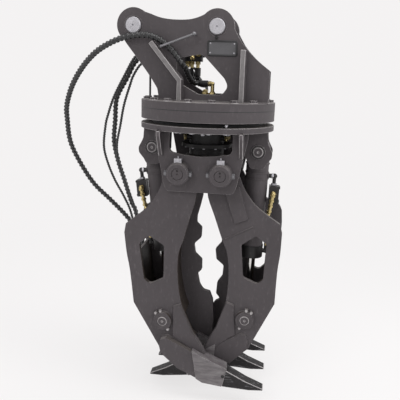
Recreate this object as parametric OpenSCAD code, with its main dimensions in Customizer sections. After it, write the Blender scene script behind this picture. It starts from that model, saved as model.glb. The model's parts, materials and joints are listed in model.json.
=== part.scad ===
// Rotating hydraulic grapple with three tines meshing into two.
// X runs along the pin line, Y across the ears, Z up; the origin is the centre of the dipper pin.

/* [Head bracket] */
// Distance between the two mounting pins
pin_centres = 380; // [365:1:400]
// Diameter of the mounting pins
pin_d = 70; // [60:1:76]
// How far each mounting pin stands out of the ears
pin_proud = 12; // [6:1:24]
// Wall of the hardened bush in each ear
bush_wall = 7; // [5:1:10]
// Clear width between the ears
ear_gap = 234; // [228:1:240]
// Thickness of an ear plate
ear_t = 28; // [24:1:30]
// Radius of the lobe round each mounting pin
lobe_r = 77; // [72:1:84]
// Height from the mounting pins down to the head flange
ear_drop = 327; // [315:1:345]
// Distance from the dipper pin back to the slewing axis
slew_offset = 48; // [40:1:56]
// How far the outside ribs stand out of the ears
rib_out = 42; // [30:1:50]
// Thickness of the outside ribs
rib_t = 22; // [16:1:26]
// Thickness of the cross plates between the ears
web_t = 16; // [12:1:20]
/* [Slewing ring] */
// Radius of the head flange, the outer ring and the lower flange
flange_r = 320; // [316:1:330]
// Thickness of the head flange
flange_t = 36; // [30:1:40]
// Height of the outer ring
ring_h = 50; // [46:1:56]
// Open gap between the outer ring and the lower flange
ring_gap = 20; // [16:1:26]
// Thickness of the lower flange
lower_t = 25; // [20:1:30]
// Number of bolts round each flange
bolt_count = 18; // [12:1:18]
// Thread diameter of the head flange bolts
bolt_d = 20; // [16:1:20]
// Thread diameter of the inner ring bolts
inner_bolt_d = 16; // [12:1:16]
// Diameter of the balls in the raceway
ball_d = 24; // [20:1:24]
// Number of balls
ball_count = 36; // [24:1:40]
// Module of the slewing teeth
tooth_module = 8; // [8:1:8]
/* [Lower frame] */
// Distance between the two jaw hinge pins
hinge_centres = 194; // [190:1:204]
// Height from the lower flange down to the hinge pins
hinge_drop = 192; // [188:1:205]
// Diameter of the jaw hinge pins
hinge_pin_d = 55; // [50:1:60]
// Width over the outside faces of the hinge plates
frame_width = 430; // [426:1:440]
// Thickness of a hinge plate
frame_t = 22; // [18:1:23]
// Outside diameter of the pin collars
collar_d = 104; // [96:1:112]
// Length of the pin collars
collar_len = 47; // [42:1:54]
// Distance between the two cylinder pins
cylinder_centres = 511; // [505:1:518]
// Height from the lower flange down to the cylinder pins
cylinder_drop = 97; // [92:1:102]
// Clear width between the two plates of a cylinder bracket
bracket_gap = 118; // [116:1:124]
// Thickness of a bracket plate
bracket_t = 26; // [20:1:28]
/* [Cylinders] */
// Outside diameter of the barrels
barrel_d = 110; // [100:1:112]
// Distance from the cylinder pin to the end of the gland
barrel_len = 535; // [520:1:545]
// Length of the gland nut
gland_len = 55; // [45:1:65]
// Diameter of the rods
rod_d = 50; // [45:1:56]
// Diameter of the cylinder pins and the rod pins
rod_pin_d = 50; // [45:1:55]
/* [Jaws] */
// Widest reach of a jaw outward from its hinge pin
jaw_w = 280; // [274:1:286]
// Depth from the hinge pin down to the tooth tips
jaw_h = 1080; // [1060:1:1100]
// Thickness of the jaw side plates
jaw_t = 24; // [20:1:26]
// Width over the side plates of the left jaw
left_width = 382; // [376:1:384]
// Width over the side plates of the right jaw
right_width = 244; // [238:1:250]
// Distance between neighbouring tines of one jaw
tine_pitch = 200; // [196:1:204]
// Width of a tine shank
shank_w = 56; // [50:1:60]
// Width of a tooth
tooth_w = 66; // [60:1:72]
// Radius of the jaw hub tube
hub_r = 50; // [46:1:52]
// Radius of the plate lobes round the hinge pins
jaw_lobe_r = 78; // [74:1:82]
// Angle that the left jaw stands past the even position, inward
left_lean = 2.7; // [2.7:0.1:2.7]
// Angle that the right jaw stands past the even position, outward
right_lean = 2.7; // [2.7:0.1:2.7]
/* [Hoses] */
// Outside diameter of the spiral-guarded hoses
guarded_d = 29; // [26:1:32]
// Outside diameter of the thin hoses
thin_d = 15; // [13:1:17]
/* [Hidden] */
$fn = 64;

paint = [0.25, 0.24, 0.25];
dark = [0.13, 0.13, 0.14];
steel = [0.72, 0.72, 0.74];
brass = [0.75, 0.62, 0.35];
rubber = [0.06, 0.06, 0.06];

// Clearances and overruns
fit = 0.05;
slack = 0.3;
over = 2;
small_round = 6;

// Fineness of round forms
arc_steps = 6;
ear_steps = 4;
jaw_steps = 3;
ring_sides = 128;
bore_sides = 96;
race_sides = 32;
ball_sides = 24;
half_turn = 180;
full_turn = 360;

// Levels, measured from the mounting pins
flange_top = -ear_drop;
flange_bottom = flange_top - flange_t;
ring_bottom = flange_bottom - ring_h;
lower_top = ring_bottom - ring_gap;
lower_bottom = lower_top - lower_t;
hinge_z = lower_bottom - hinge_drop;
cylinder_z = lower_bottom - cylinder_drop;
hinge_x = hinge_centres / 2;
cylinder_x = cylinder_centres / 2;
ear_out = ear_gap / 2 + ear_t;
ear_in = ear_gap / 2;
frame_out = frame_width / 2;
frame_in = frame_out - frame_t;

// Ear outline as shares of the pin distance and of the ear drop, from the dipper pin
ear_top_shares = [[-0.9, 0.19], [-0.8, 0.157], [-0.7, 0.115], [-0.6, 0.092], [-0.5, 0.083],
    [-0.4, 0.083], [-0.3, 0.095], [-0.2, 0.13], [-0.1, 0.19]];
ear_right_shares = [[0.205, -0.03], [0.24, -0.1], [0.31, -0.225], [0.42, -0.36], [0.52, -0.46],
    [0.635, -0.56]];
ear_foot_shares = [[0.635, -1], [-0.69, -1], [-0.69, -0.93]];
ear_left_shares = [[-0.705, -0.84], [-0.81, -0.655], [-0.97, -0.415], [-1.09, -0.24], [-1.17, -0.1]];
ear_hole_shares = [[-0.47, -0.43], [-0.2, -0.365], [-0.145, -0.385], [0.105, -0.68], [0.155, -0.79],
    [0.08, -0.905], [-0.2, -0.905], [-0.43, -0.76], [-0.47, -0.7]];
ear_hole_rounds = [30, 22, 22, 40, 30, 26, 26, 14, 20];
left_rib_shares = [[-0.77, -0.225], [-0.42, -0.72], [-0.42, -1]];
right_rib_shares = [[0.32, -0.3], [0.32, -1]];

// Jaw outlines as shares of the jaw width and depth, from the hinge pin, outward and up
jaw_top_shares = [[0.28, -0.026], [0.371, -0.084], [0.529, -0.144], [0.721, -0.188], [0.965, -0.234]];
jaw_shoulder_shares = [[0.28, -0.026], [0.39, -0.08], [0.56, -0.13], [0.76, -0.165], [0.93, -0.187],
    [0.995, -0.22]];
jaw_side_shares = [[1, -0.275], [0.975, -0.37], [0.93, -0.453], [0.89, -0.607]];
jaw_toe_shares = [[0.425, -0.838], [0.07, -0.912], [-0.22, -0.926], [-0.39, -0.868]];
jaw_inner_shares = [[-0.385, -0.855], [-0.33, -0.82], [-0.157, -0.742], [-0.043, -0.67], [0.02, -0.62],
    [0.068, -0.548], [0.086, -0.47], [0.082, -0.42], [0.055, -0.363], [-0.032, -0.302],
    [-0.154, -0.199], [-0.258, -0.116], [-0.278, -0.04]];
jaw_window_shares = [[0.56, -0.288], [0.745, -0.325], [0.685, -0.492], [0.585, -0.517],
    [0.335, -0.486], [0.307, -0.332]];
jaw_window_rounds = [12, 16, 18, 22, 22, 18];
// Edge of the gripping plates, with their bumps
grip_shares = [[-0.39, -0.868], [-0.45, -0.75], [-0.44, -0.652], [-0.385, -0.611], [-0.265, -0.603],
    [-0.2, -0.575], [-0.165, -0.52], [-0.245, -0.499], [-0.25, -0.45], [-0.13, -0.418],
    [-0.11, -0.372], [-0.245, -0.34], [-0.26, -0.292], [-0.17, -0.268], [-0.18, -0.235],
    [-0.24, -0.185], [-0.29, -0.137], [-0.29, -0.05]];
grip_rounds = [8, 40, 26, 10, 30, 60, 16, 14, 14, 16, 24, 14, 14, 16, 40, 40, 40, 8];
high_grip_shares = [[-0.39, -0.868], [-0.42, -0.78], [-0.36, -0.728], [-0.25, -0.693], [-0.15, -0.68],
    [-0.235, -0.65], [-0.21, -0.592], [-0.11, -0.556], [-0.085, -0.502], [-0.22, -0.47],
    [-0.235, -0.418], [-0.12, -0.384], [-0.1, -0.35], [-0.13, -0.28], [-0.2, -0.2],
    [-0.27, -0.116], [-0.28, -0.04]];
high_grip_rounds = [8, 20, 12, 18, 14, 14, 16, 24, 16, 14, 14, 16, 30, 60, 60, 40, 8];
grip_back_shares = [[0.1, -0.1], [0.13, -0.2], [0.14, -0.3], [0.17, -0.4], [0.17, -0.5],
    [0.15, -0.56], [0.08, -0.63], [0.06, -0.75], [0.43, -0.78], [0.425, -0.838], [0.07, -0.912],
    [-0.22, -0.926]];
toe_plate_shares = [[0.05, -0.607], [-0.03, -0.66], [-0.14, -0.735], [-0.31, -0.81], [-0.37, -0.852],
    [-0.16, -0.83], [0.06, -0.785], [0.19, -0.765], [0.17, -0.62]];
doubler_shares = [[0.02, -0.075], [0.2, -0.232], [0.42, -0.209], [0.27, -0.07]];
shank_shares = [[0.4, -0.77], [0.3, -0.762], [-0.33, -0.849], [-0.33, -0.969], [-0.09, -0.935],
    [0.1, -0.912], [0.4, -0.838], [0.43, -0.8]];
adapter_shares = [[-0.16, -0.817], [-0.33, -0.843], [-0.76, -0.897], [-0.675, -0.987], [-0.33, -0.973],
    [-0.22, -0.955]];
nose_shares = [[-0.6, -0.9], [-1.1, -0.958], [-1.1, -0.974], [-0.6, -0.972]];
tooth_shares = [[-0.757, -0.905], [-1.1, -0.956], [-1.4, -0.99], [-1.4, -0.998], [-1.15, -0.999],
    [-0.672, -0.986]];
rod_pin_share = [0.368, -0.687];

// Slewing ring: circles inward from the flange edge, and the largest whole gear set that fits inside them
bolt_inset = 25;
race_inset = 52.5;
inner_bolt_inset = 21.5;
pitch_inset = 96;
bolt_circle_r = flange_r - bolt_inset;
race_r = flange_r - race_inset;
inner_bolt_r = race_r - inner_bolt_inset;
inner_bolt_count = 20;
inner_bolt_turn = 9;
housing_bolt_count = 8;
housing_bolt_d = 12;
housing_bolt_share = 0.5;
housing_bolt_r = housing_bolt_share * flange_r;
lower_bore_inset = 10;
lower_bore_r = housing_bolt_r - lower_bore_inset;
head_share = 0.65;
af_share = 1.5;
ring_split = 1;
gear_ratio = 4;
pinion_teeth = floor(2 * (flange_r - pitch_inset) / (gear_ratio * tooth_module));
ring_teeth = gear_ratio * pinion_teeth;
pitch_r = ring_teeth * tooth_module / 2;
pinion_r = pinion_teeth * tooth_module / 2;
pinion_x = pitch_r - pinion_r;
pinion_h = 38;
core_r = 45;
motor_r = 55;
motor_h = 150;

function unit(v) = v / norm(v);
function turned(v, q) = [v[0] * cos(q) - v[1] * sin(q), v[0] * sin(q) + v[1] * cos(q)];
function scaled(shares, w, h) = [for (p = shares) [p[0] * w, p[1] * h]];
// Arc of n steps that rounds the corner at b
function corner(a, b, c, r, n) =
    let (u = unit(a - b), v = unit(c - b), half = acos(u * v) / 2,
        o = b + unit(u + v) * r / sin(half), s = b + u * r / tan(half) - o,
        e = b + v * r / tan(half) - o, turn = (half_turn - 2 * half) * sign(cross(s, e)))
    [for (i = [0:n]) o + turned(s, turn * i / n)];
function rounded(p, r) =
    let (k = len(p))
    [for (i = [0:k - 1]) each corner(p[(i + k - 1) % k], p[i], p[(i + 1) % k],
        is_list(r) ? r[i] : r, arc_steps)];
// Smooth curve through p, n steps between neighbours
function curve(p, n) =
    [for (i = [0:len(p) - 2]) for (j = [0:n - 1])
        let (t = j / n, a = p[max(i - 1, 0)], b = p[i], c = p[i + 1], d = p[min(i + 2, len(p) - 1)])
        0.5 * (2 * b + (c - a) * t + (2 * a - 5 * b + 4 * c - d) * t * t
            + (3 * b - a - 3 * c + d) * t * t * t),
        p[len(p) - 1]];
// Strip between two offsets to the right of an open line
function beside(p, d) =
    [for (i = [0:len(p) - 1])
        let (t = unit(p[min(i + 1, len(p) - 1)] - p[max(i - 1, 0)])) p[i] + [t[1], -t[0]] * d];
function back(p) = [for (i = [len(p) - 1:-1:0]) p[i]];
function strip(p, a, b) = concat(beside(p, a), back(beside(p, b)));

// Cylinder along Y between y0 and y1
module across(r, y0, y1) { translate([0, y0, 0]) rotate([-90, 0, 0]) cylinder(h = y1 - y0, r = r); }
// Cylinder along X between x0 and x1
module along(r, x0, x1) { translate([x0, 0, 0]) rotate([0, 90, 0]) cylinder(h = x1 - x0, r = r); }
// Flat shape of X and Z, thick from y0 to y1
module plate(y0, y1) { translate([0, y1, 0]) rotate([90, 0, 0]) linear_extrude(y1 - y0) children(); }
module both_sides() { children(); mirror([0, 1, 0]) children(); }
module at_slew() { translate([-slew_offset, 0, 0]) children(); }
module hex_head(d) {
    cylinder(h = head_share * d, r = af_share * d / sqrt(3), $fn = 6);
}

// Head bracket
module ear_shape() {
    difference() {
        union() {
            for (x = [0, -pin_centres]) translate([x, 0]) circle(r = lobe_r);
            polygon(concat([[-pin_centres, 0]],
                curve(scaled(ear_top_shares, pin_centres, ear_drop), ear_steps), [[0, 0]],
                curve(scaled(ear_right_shares, pin_centres, ear_drop), ear_steps),
                scaled(ear_foot_shares, pin_centres, ear_drop),
                curve(scaled(ear_left_shares, pin_centres, ear_drop), ear_steps)));
        }
        polygon(rounded(scaled(ear_hole_shares, pin_centres, ear_drop), ear_hole_rounds));
    }
}
module ear(y0, y1) {
    color(paint) difference() {
        plate(y0, y1) ear_shape();
        for (x = [0, -pin_centres]) translate([x, 0, 0])
            across(pin_d / 2 + bush_wall + fit, y0 - over, y1 + over);
    }
}
module front_ear() { ear(-ear_out, -ear_in); }
module rear_ear() { ear(ear_in, ear_out); }
module rib_shape(shares) {
    line = scaled(shares, pin_centres, ear_drop);
    polygon(strip(line, -rib_t / 2, rib_t / 2));
}
module ear_ribs() {
    color(paint) both_sides() plate(-ear_out - rib_out, -ear_out) {
        rib_shape(left_rib_shares);
        rib_shape(right_rib_shares);
    }
}
// Cross plates between the ears; the right one always stands clear of the slewing motor
web_x_shares = [-0.64, 0.525];
web_top_shares = [-0.66, -0.54];
web_clear = 4;
web_xs = [web_x_shares[0] * pin_centres,
    max(web_x_shares[1] * pin_centres, pinion_x + motor_r - slew_offset + web_t / 2 + web_clear)];
module head_webs() {
    color(paint) for (i = [0, 1]) translate([web_xs[i] - web_t / 2, -ear_in, flange_top])
        cube([web_t, ear_gap, (1 + web_top_shares[i]) * ear_drop]);
}
module ear_bushes() {
    color(steel) for (x = [0, -pin_centres]) translate([x, 0, 0]) both_sides() difference() {
        across(pin_d / 2 + bush_wall, -ear_out, -ear_in);
        across(pin_d / 2 + fit, -ear_out - over, -ear_in + over);
    }
}
centre_mark_r = 4;
centre_mark_depth = 5;
pin_edge = 3;
// Pin along Y with chamfered ends and a centre mark in each face
module marked_pin(d, half, edge) {
    rotate([90, 0, 0]) difference() {
        rotate_extrude() polygon([[0, -half], [d / 2 - edge, -half], [d / 2, -half + edge],
            [d / 2, half - edge], [d / 2 - edge, half], [0, half]]);
        for (s = [-1, 1]) translate([0, 0, s * half - centre_mark_depth])
            cylinder(h = 2 * centre_mark_depth, r = centre_mark_r);
    }
}
module mounting_pins() {
    color(steel) for (x = [0, -pin_centres]) translate([x, 0, 0])
        marked_pin(pin_d, ear_out + pin_proud, pin_edge);
}
plate_w_share = 0.335;
plate_h_share = 0.185;
plate_place_share = [-0.1, -0.375];
nameplate_t = 2;
module nameplate() {
    color(steel) translate([plate_place_share[0] * pin_centres, -ear_out - nameplate_t,
        plate_place_share[1] * ear_drop])
        cube([plate_w_share * pin_centres, nameplate_t, plate_h_share * ear_drop]);
}

// Slewing ring
// Places on a bolt circle; the heads all keep their flats square to the ears
module ring_of_bolts(count, r, turn) {
    for (i = [0:count - 1])
        let (a = turn + i * full_turn / count) translate([r * cos(a), r * sin(a), 0]) children();
}
module head_flange() {
    color(paint) at_slew() difference() {
        translate([0, 0, flange_bottom]) cylinder(h = flange_t, r = flange_r, $fn = ring_sides);
        translate([0, 0, flange_bottom - over]) {
            cylinder(h = flange_t + 2 * over, r = core_r + slack);
            translate([pinion_x, 0, 0]) cylinder(h = flange_t + 2 * over, r = motor_shaft_r + over);
            ring_of_bolts(bolt_count, bolt_circle_r, 0)
                cylinder(h = flange_t + 2 * over, r = bolt_d / 2 + slack);
        }
    }
}
bolt_grip = 32;
module flange_bolts() {
    color(paint) at_slew() ring_of_bolts(bolt_count, bolt_circle_r, 0) {
        translate([0, 0, flange_top]) hex_head(bolt_d);
        translate([0, 0, flange_bottom - bolt_grip]) cylinder(h = flange_t + bolt_grip, r = bolt_d / 2);
    }
}
race_z = flange_bottom - ring_h / 2;
module raceway() {
    translate([0, 0, race_z]) rotate_extrude($fn = ring_sides)
        translate([race_r, 0]) circle(r = ball_d / 2 + slack, $fn = race_sides);
}
module outer_ring() {
    color(paint) at_slew() difference() {
        translate([0, 0, ring_bottom]) cylinder(h = ring_h, r = flange_r, $fn = ring_sides);
        translate([0, 0, ring_bottom - over])
            cylinder(h = ring_h + 2 * over, r = race_r + ring_split, $fn = ring_sides);
        raceway();
        translate([0, 0, flange_bottom - bolt_grip - over])
            ring_of_bolts(bolt_count, bolt_circle_r, 0)
                cylinder(h = bolt_grip + 2 * over, r = bolt_d / 2 + slack);
    }
}
module ring_balls() {
    color(steel) at_slew() translate([0, 0, race_z]) for (i = [0:ball_count - 1])
        rotate([0, 0, i * full_turn / ball_count]) translate([race_r, 0, 0])
            sphere(r = ball_d / 2, $fn = ball_sides);
}
// Teeth with straight flanks; at the root and at the tip the shares of half a pitch that they fill
root_r_share = 1.2;
tip_r_share = 0.8;
root_fill_share = 0.68;
tip_fill_share = 0.24;
ring_root_fill_share = 0.74;
ring_tip_fill_share = 0.3;
function gear(count, root, tip, root_fill, tip_fill) =
    [for (i = [0:count - 1]) let (a = full_turn * i / count, h = half_turn / count)
        each [for (c = [[root, -root_fill], [tip, -tip_fill], [tip, tip_fill], [root, root_fill]])
            [c[0] * cos(a + c[1] * h), c[0] * sin(a + c[1] * h)]]];
inner_top_slack = 5;
inner_grip = 26;
inner_h = flange_bottom - inner_top_slack - lower_top;
module inner_ring() {
    color(dark) at_slew() difference() {
        translate([0, 0, lower_top]) cylinder(h = inner_h, r = race_r - ring_split, $fn = ring_sides);
        translate([0, 0, lower_top - over]) linear_extrude(ring_h + ring_gap + 2 * over)
            polygon(gear(ring_teeth, pitch_r + root_r_share * tooth_module,
                pitch_r - tip_r_share * tooth_module, ring_root_fill_share, ring_tip_fill_share));
        raceway();
        translate([0, 0, lower_top - over]) ring_of_bolts(inner_bolt_count, inner_bolt_r, inner_bolt_turn)
            cylinder(h = inner_grip + over, r = inner_bolt_d / 2 + slack);
    }
}
module turntable_bolts() {
    color(steel) at_slew() {
        ring_of_bolts(inner_bolt_count, inner_bolt_r, inner_bolt_turn) {
            translate([0, 0, lower_bottom - head_share * inner_bolt_d]) hex_head(inner_bolt_d);
            translate([0, 0, lower_bottom])
                cylinder(h = lower_t + inner_grip - over, r = inner_bolt_d / 2);
        }
        ring_of_bolts(housing_bolt_count, housing_bolt_r, 0)
            translate([0, 0, lower_bottom - housing_rim_t - head_share * housing_bolt_d])
                hex_head(housing_bolt_d);
    }
}
module lower_flange() {
    color(paint) at_slew() difference() {
        translate([0, 0, lower_bottom]) cylinder(h = lower_t, r = flange_r, $fn = ring_sides);
        translate([0, 0, lower_bottom - over]) {
            cylinder(h = lower_t + 2 * over, r = lower_bore_r, $fn = bore_sides);
            ring_of_bolts(inner_bolt_count, inner_bolt_r, inner_bolt_turn)
                cylinder(h = lower_t + 2 * over, r = inner_bolt_d / 2 + slack);
        }
    }
}
motor_shaft_r = 20;
motor_flange_t = 18;
motor_port_r = 12;
motor_body_share = 0.9;
module slew_motor() {
    color(dark) at_slew() translate([pinion_x, 0, flange_top]) {
        translate([-motor_r, -motor_r, 0]) cube([2 * motor_r, 2 * motor_r, motor_flange_t]);
        translate([0, 0, motor_flange_t])
            cylinder(h = motor_h - motor_flange_t, r = motor_r * motor_body_share);
        for (s = [-1, 1]) translate([0, s * motor_r / 2, motor_h])
            cylinder(h = motor_port_r, r = motor_port_r);
        translate([0, 0, -flange_t]) cylinder(h = flange_t, r = motor_shaft_r);
    }
}
module pinion() {
    color(steel) at_slew() translate([pinion_x, 0, flange_bottom - slack - pinion_h]) difference() {
        rotate([0, 0, half_turn / pinion_teeth]) linear_extrude(pinion_h)
            polygon(gear(pinion_teeth, pinion_r - root_r_share * tooth_module,
                pinion_r + tip_r_share * tooth_module, root_fill_share, tip_fill_share));
        translate([0, 0, -over]) cylinder(h = pinion_h / 2, r = motor_shaft_r);
    }
}

// Rotary swivel on the slewing axis
core_flange_r = 58;
core_flange_t = 24;
core_len = 118;
housing_r = 84;
housing_len = 125;
housing_rim_r = 122;
housing_rim_t = 16;
housing_rim_drop = 88;
housing_port_turns = [25, 155, 205, 335];
module swivel_core() {
    color(dark) at_slew() {
        translate([0, 0, flange_top]) cylinder(h = core_flange_t, r = core_flange_r);
        translate([0, 0, lower_bottom - core_len])
            cylinder(h = core_len + flange_top - lower_bottom + core_flange_t / 2, r = core_r);
    }
}
module swivel_housing() {
    color(dark) at_slew() difference() {
        union() {
            translate([0, 0, lower_bottom - housing_len]) cylinder(h = housing_len, r = housing_r);
            translate([0, 0, lower_bottom - housing_rim_drop])
                cylinder(h = housing_rim_t, r = housing_rim_r, $fn = bore_sides);
            for (q = housing_port_turns) rotate([0, 0, q])
                translate([0, 0, lower_bottom - housing_rim_drop / 2])
                    along(motor_port_r, core_r + over, housing_r + 2 * motor_port_r);
            translate([0, 0, lower_bottom - housing_rim_t]) difference() {
                cylinder(h = housing_rim_t, r = housing_bolt_r + housing_bolt_d, $fn = bore_sides);
                translate([0, 0, -over]) cylinder(h = housing_rim_t + 2 * over, r = housing_r - over);
            }
        }
        translate([0, 0, lower_bottom - housing_len - over]) cylinder(h = housing_len + 2 * over,
            r = core_r + fit);
    }
}
stub_r = 9;
nut_r = 13;
nut_h = 14;
// The two swivel elbows: how far they stand off the slewing axis, their heights and their level stubs
elbow_off = 18;
elbow_a_h = 78;
elbow_d_h = 39;
elbow_a_stub = 21;
elbow_d_stub = 20;
elbow_a = [-slew_offset + elbow_off, 0, flange_top + elbow_a_h];
elbow_a_end = elbow_a - [elbow_a_stub, 0, 0];
elbow_d = [-slew_offset - elbow_off, 0, flange_top + elbow_d_h];
elbow_d_end = elbow_d + [0, elbow_d_stub, 0];
block_size = [84, 46, 55];
block_place = [-180, -90];
fitting_xs = [-118, -147, -168];
fitting_y = 94;
fitting_len = 30;
block_bottom = block_place[1] - block_size[2];
module head_fittings() {
    color(brass) {
        for (e = [[elbow_a, elbow_a_end], [elbow_d, elbow_d_end]]) {
            rod_between([e[0][0], 0, flange_top + core_flange_t], e[0], stub_r);
            translate(e[0]) sphere(r = stub_r + elbow_bulge);
            rod_between(e[0], e[1], stub_r);
        }
        for (x = fitting_xs) translate([x, fitting_y, block_bottom]) {
            translate([0, 0, -nut_h]) cylinder(h = nut_h, r = nut_r, $fn = 6);
            translate([0, 0, -fitting_len]) cylinder(h = fitting_len, r = stub_r);
        }
    }
}
module relief_block() {
    color(dark) translate([block_place[0], ear_in - block_size[1], block_bottom]) cube(block_size);
}

// Rod hose guide in front of the left rib
elbow_bulge = 1;
guide_rod_r = 5;
guide_ball_r = 9;
guide_out = 44;
guide_a_share = [-0.64, -0.28];
guide_b_share = [-0.25, -0.11];
function in_xz(s, y) = [s[0] * pin_centres, y, s[1] * ear_drop];
module rod_between(a, b, r) {
    d = b - a;
    translate(a) rotate([0, acos(d[2] / norm(d)), atan2(d[1], d[0])]) cylinder(h = norm(d), r = r);
}
module hose_guide() {
    a = in_xz(guide_a_share, -ear_out - guide_out);
    b = in_xz(guide_b_share, -ear_out - guide_out);
    color(steel) {
        rod_between(a, b, guide_rod_r);
        rod_between(a, a + [0, guide_out, 0], guide_rod_r);
        rod_between(b, b + [0, guide_out, 0], guide_rod_r);
        translate(a) sphere(r = guide_rod_r + elbow_bulge);
        translate(b) sphere(r = guide_ball_r);
    }
}
grease_r = 5;
grease_place = [-350, 60];
module grease_line() {
    color(rubber) translate([grease_place[0], grease_place[1], flange_top]) {
        cylinder(h = grease_len, r = grease_r);
        translate([0, 0, grease_len]) {
            sphere(r = grease_r + elbow_bulge);
            across(grease_r, 0, ear_in - grease_place[1]);
        }
    }
}
grease_len = 187;

// Lower frame
frame_shares = [[-1, 0], [-1, -0.1], [-0.875, -0.58], [-0.8, -0.87], [-0.735, -1], [0.735, -1],
    [0.8, -0.87], [0.875, -0.58], [1, -0.1], [1, 0]];
frame_rounds = [0.5, 20, 20, 20, 24, 24, 20, 20, 20, 0.5];
frame_half = 212;
frame_h = 280;
frame_hole_shares = [[-0.68, 0.2], [-0.68, -0.345], [-0.35, -0.39], [0, -0.41], [0.35, -0.39],
    [0.68, -0.345], [0.68, 0.2]];
frame_hole_rounds = [1, 24, 60, 60, 60, 24, 1];
// Hinge plate with the flat shapes given to it cut out, and with notches round the heads of the ring bolts
module hinge_plate(y0, y1) {
    color(paint) at_slew() difference() {
        translate([0, 0, lower_bottom]) plate(y0, y1) intersection() {
            difference() {
                polygon(rounded(scaled(frame_shares, frame_half, frame_h), frame_rounds));
                children();
            }
            translate([-frame_half, -frame_h]) square([2 * frame_half, frame_h]);
        }
        translate([0, 0, lower_bottom - head_share * inner_bolt_d - over])
            ring_of_bolts(inner_bolt_count, inner_bolt_r, inner_bolt_turn)
                cylinder(h = head_share * inner_bolt_d + 2 * over, r = inner_bolt_d);
        for (s = [-1, 1]) translate([s * hinge_x, 0, hinge_z])
            across(hinge_pin_d / 2 + fit, y0 - over, y1 + over);
    }
}
module front_hinge_plate() {
    hinge_plate(-frame_out, -frame_in)
        polygon(rounded(scaled(frame_hole_shares, frame_half, frame_h), frame_hole_rounds));
}
module rear_hinge_plate() { hinge_plate(frame_in, frame_out); }
gusset_t = 18;
gusset_out = 62;
gusset_h = 120;
gusset_x_share = 0.87;
gusset_toe_share = 0.17;
module frame_gussets() {
    color(paint) at_slew() both_sides() for (s = [-1, 1])
        translate([s * gusset_x_share * frame_half + gusset_t / 2, -frame_out, lower_bottom])
            rotate([0, -90, 0]) linear_extrude(gusset_t)
                polygon([[0, 0], [0, -gusset_out], [-gusset_toe_share * gusset_h, -gusset_out],
                    [-gusset_h, 0]]);
}
bracket_shares = [[-0.95, 0], [-0.95, -0.25], [-0.5, -1.02], [0.42, -1.02], [0.62, -0.72],
    [0.98, -0.36], [1.03, -0.05], [0.72, 0.45], [0.66, 0.6]];
bracket_rounds = [6, 10, 14, 14, 14, 20, 30, 20, 6, 1, 1];
bracket_root_share = 0.6;
bracket_half = 65;
bracket_h = 78;
bracket_boss_r = 33;
bracket_boss_t = 5;
bracket_rim = 14;
bracket_lip = 0.5;
// Reach of a bracket outward from its pin: up to the flange edge, and at least round its boss
bracket_out = max(bracket_boss_r + bracket_rim, flange_r - cylinder_x + bracket_lip);
// Bracket plate in the frame of its pin, X outward, cut off level with the underside of the flange
module bracket_shape() {
    line = [for (p = bracket_shares) [p[0] * (p[0] < 0 ? bracket_half : bracket_out), p[1] * bracket_h]];
    intersection() {
        polygon(rounded(concat(line, [[bracket_root_share * bracket_out, cylinder_drop + over],
            [-bracket_half, cylinder_drop + over]]), bracket_rounds));
        translate([-flange_r, cylinder_drop - flange_r]) square([2 * flange_r, flange_r]);
    }
}
module cylinder_brackets() {
    color(paint) at_slew() for (side = [-1, 1]) both_sides() translate([side * cylinder_x, 0, cylinder_z])
        difference() {
            union() {
                plate(-bracket_gap / 2 - bracket_t, -bracket_gap / 2) scale([side, 1]) bracket_shape();
                across(bracket_boss_r, -bracket_gap / 2 - bracket_t - bracket_boss_t, -bracket_gap / 2);
            }
            across(rod_pin_d / 2 + fit, -frame_out, -bracket_gap / 2 + over);
        }
}
module cylinder_pins() {
    color(paint) at_slew() for (side = [-1, 1]) translate([side * cylinder_x, 0, cylinder_z])
        marked_pin(rod_pin_d, bracket_gap / 2 + bracket_t + bracket_boss_t + over, pin_edge);
}
collar_edge = 7;
collar_bolt_r = 8;
module pin_collars() {
    color(paint) at_slew() both_sides() for (s = [-1, 1]) translate([s * hinge_x, -frame_out, hinge_z])
        difference() {
            rotate([90, 0, 0]) rotate_extrude() polygon([[hinge_pin_d / 2 + fit, 0], [collar_d / 2, 0],
                [collar_d / 2, collar_len - collar_edge], [collar_d / 2 - collar_edge, collar_len],
                [hinge_pin_d / 2 + fit, collar_len]]);
            translate([0, -collar_len / 2, 0]) along(collar_bolt_r + slack, -collar_d, collar_d);
        }
}
grease_hole_r = 5;
grease_hole_place = 15;
module hinge_pins() {
    half = frame_out + collar_len - over;
    color(paint) at_slew() for (s = [-1, 1]) translate([s * hinge_x, 0, hinge_z]) difference() {
        rotate([90, 0, 0]) rotate_extrude() polygon([[0, -half], [hinge_pin_d / 2 - pin_edge, -half],
            [hinge_pin_d / 2, -half + pin_edge], [hinge_pin_d / 2, half - pin_edge],
            [hinge_pin_d / 2 - pin_edge, half], [0, half]]);
        both_sides() {
            translate([0, -frame_out - collar_len / 2, 0])
                along(collar_bolt_r + slack, -collar_d, collar_d);
            translate([0, 0, grease_hole_place]) across(grease_hole_r, -half - over, -half + collar_edge);
            across(centre_mark_r, -half - over, -half + centre_mark_depth);
        }
    }
}
collar_head_h = 12;
collar_head_share = 1.7;
module collar_bolts() {
    color(steel) at_slew() both_sides() for (s = [-1, 1])
        translate([s * hinge_x, -frame_out - collar_len / 2, hinge_z]) {
            along(collar_bolt_r, -collar_d / 2 - collar_head_h, collar_d / 2 + collar_head_h);
            for (e = [-1, 1]) translate([e * collar_d / 2, 0, 0]) rotate([0, e * 90, 0])
                cylinder(h = collar_head_h, r = collar_bolt_r * collar_head_share, $fn = 6);
        }
}
grease_block = [34, 26, 22];
grease_seat = 3;
grease_out_share = 0.8;
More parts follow.
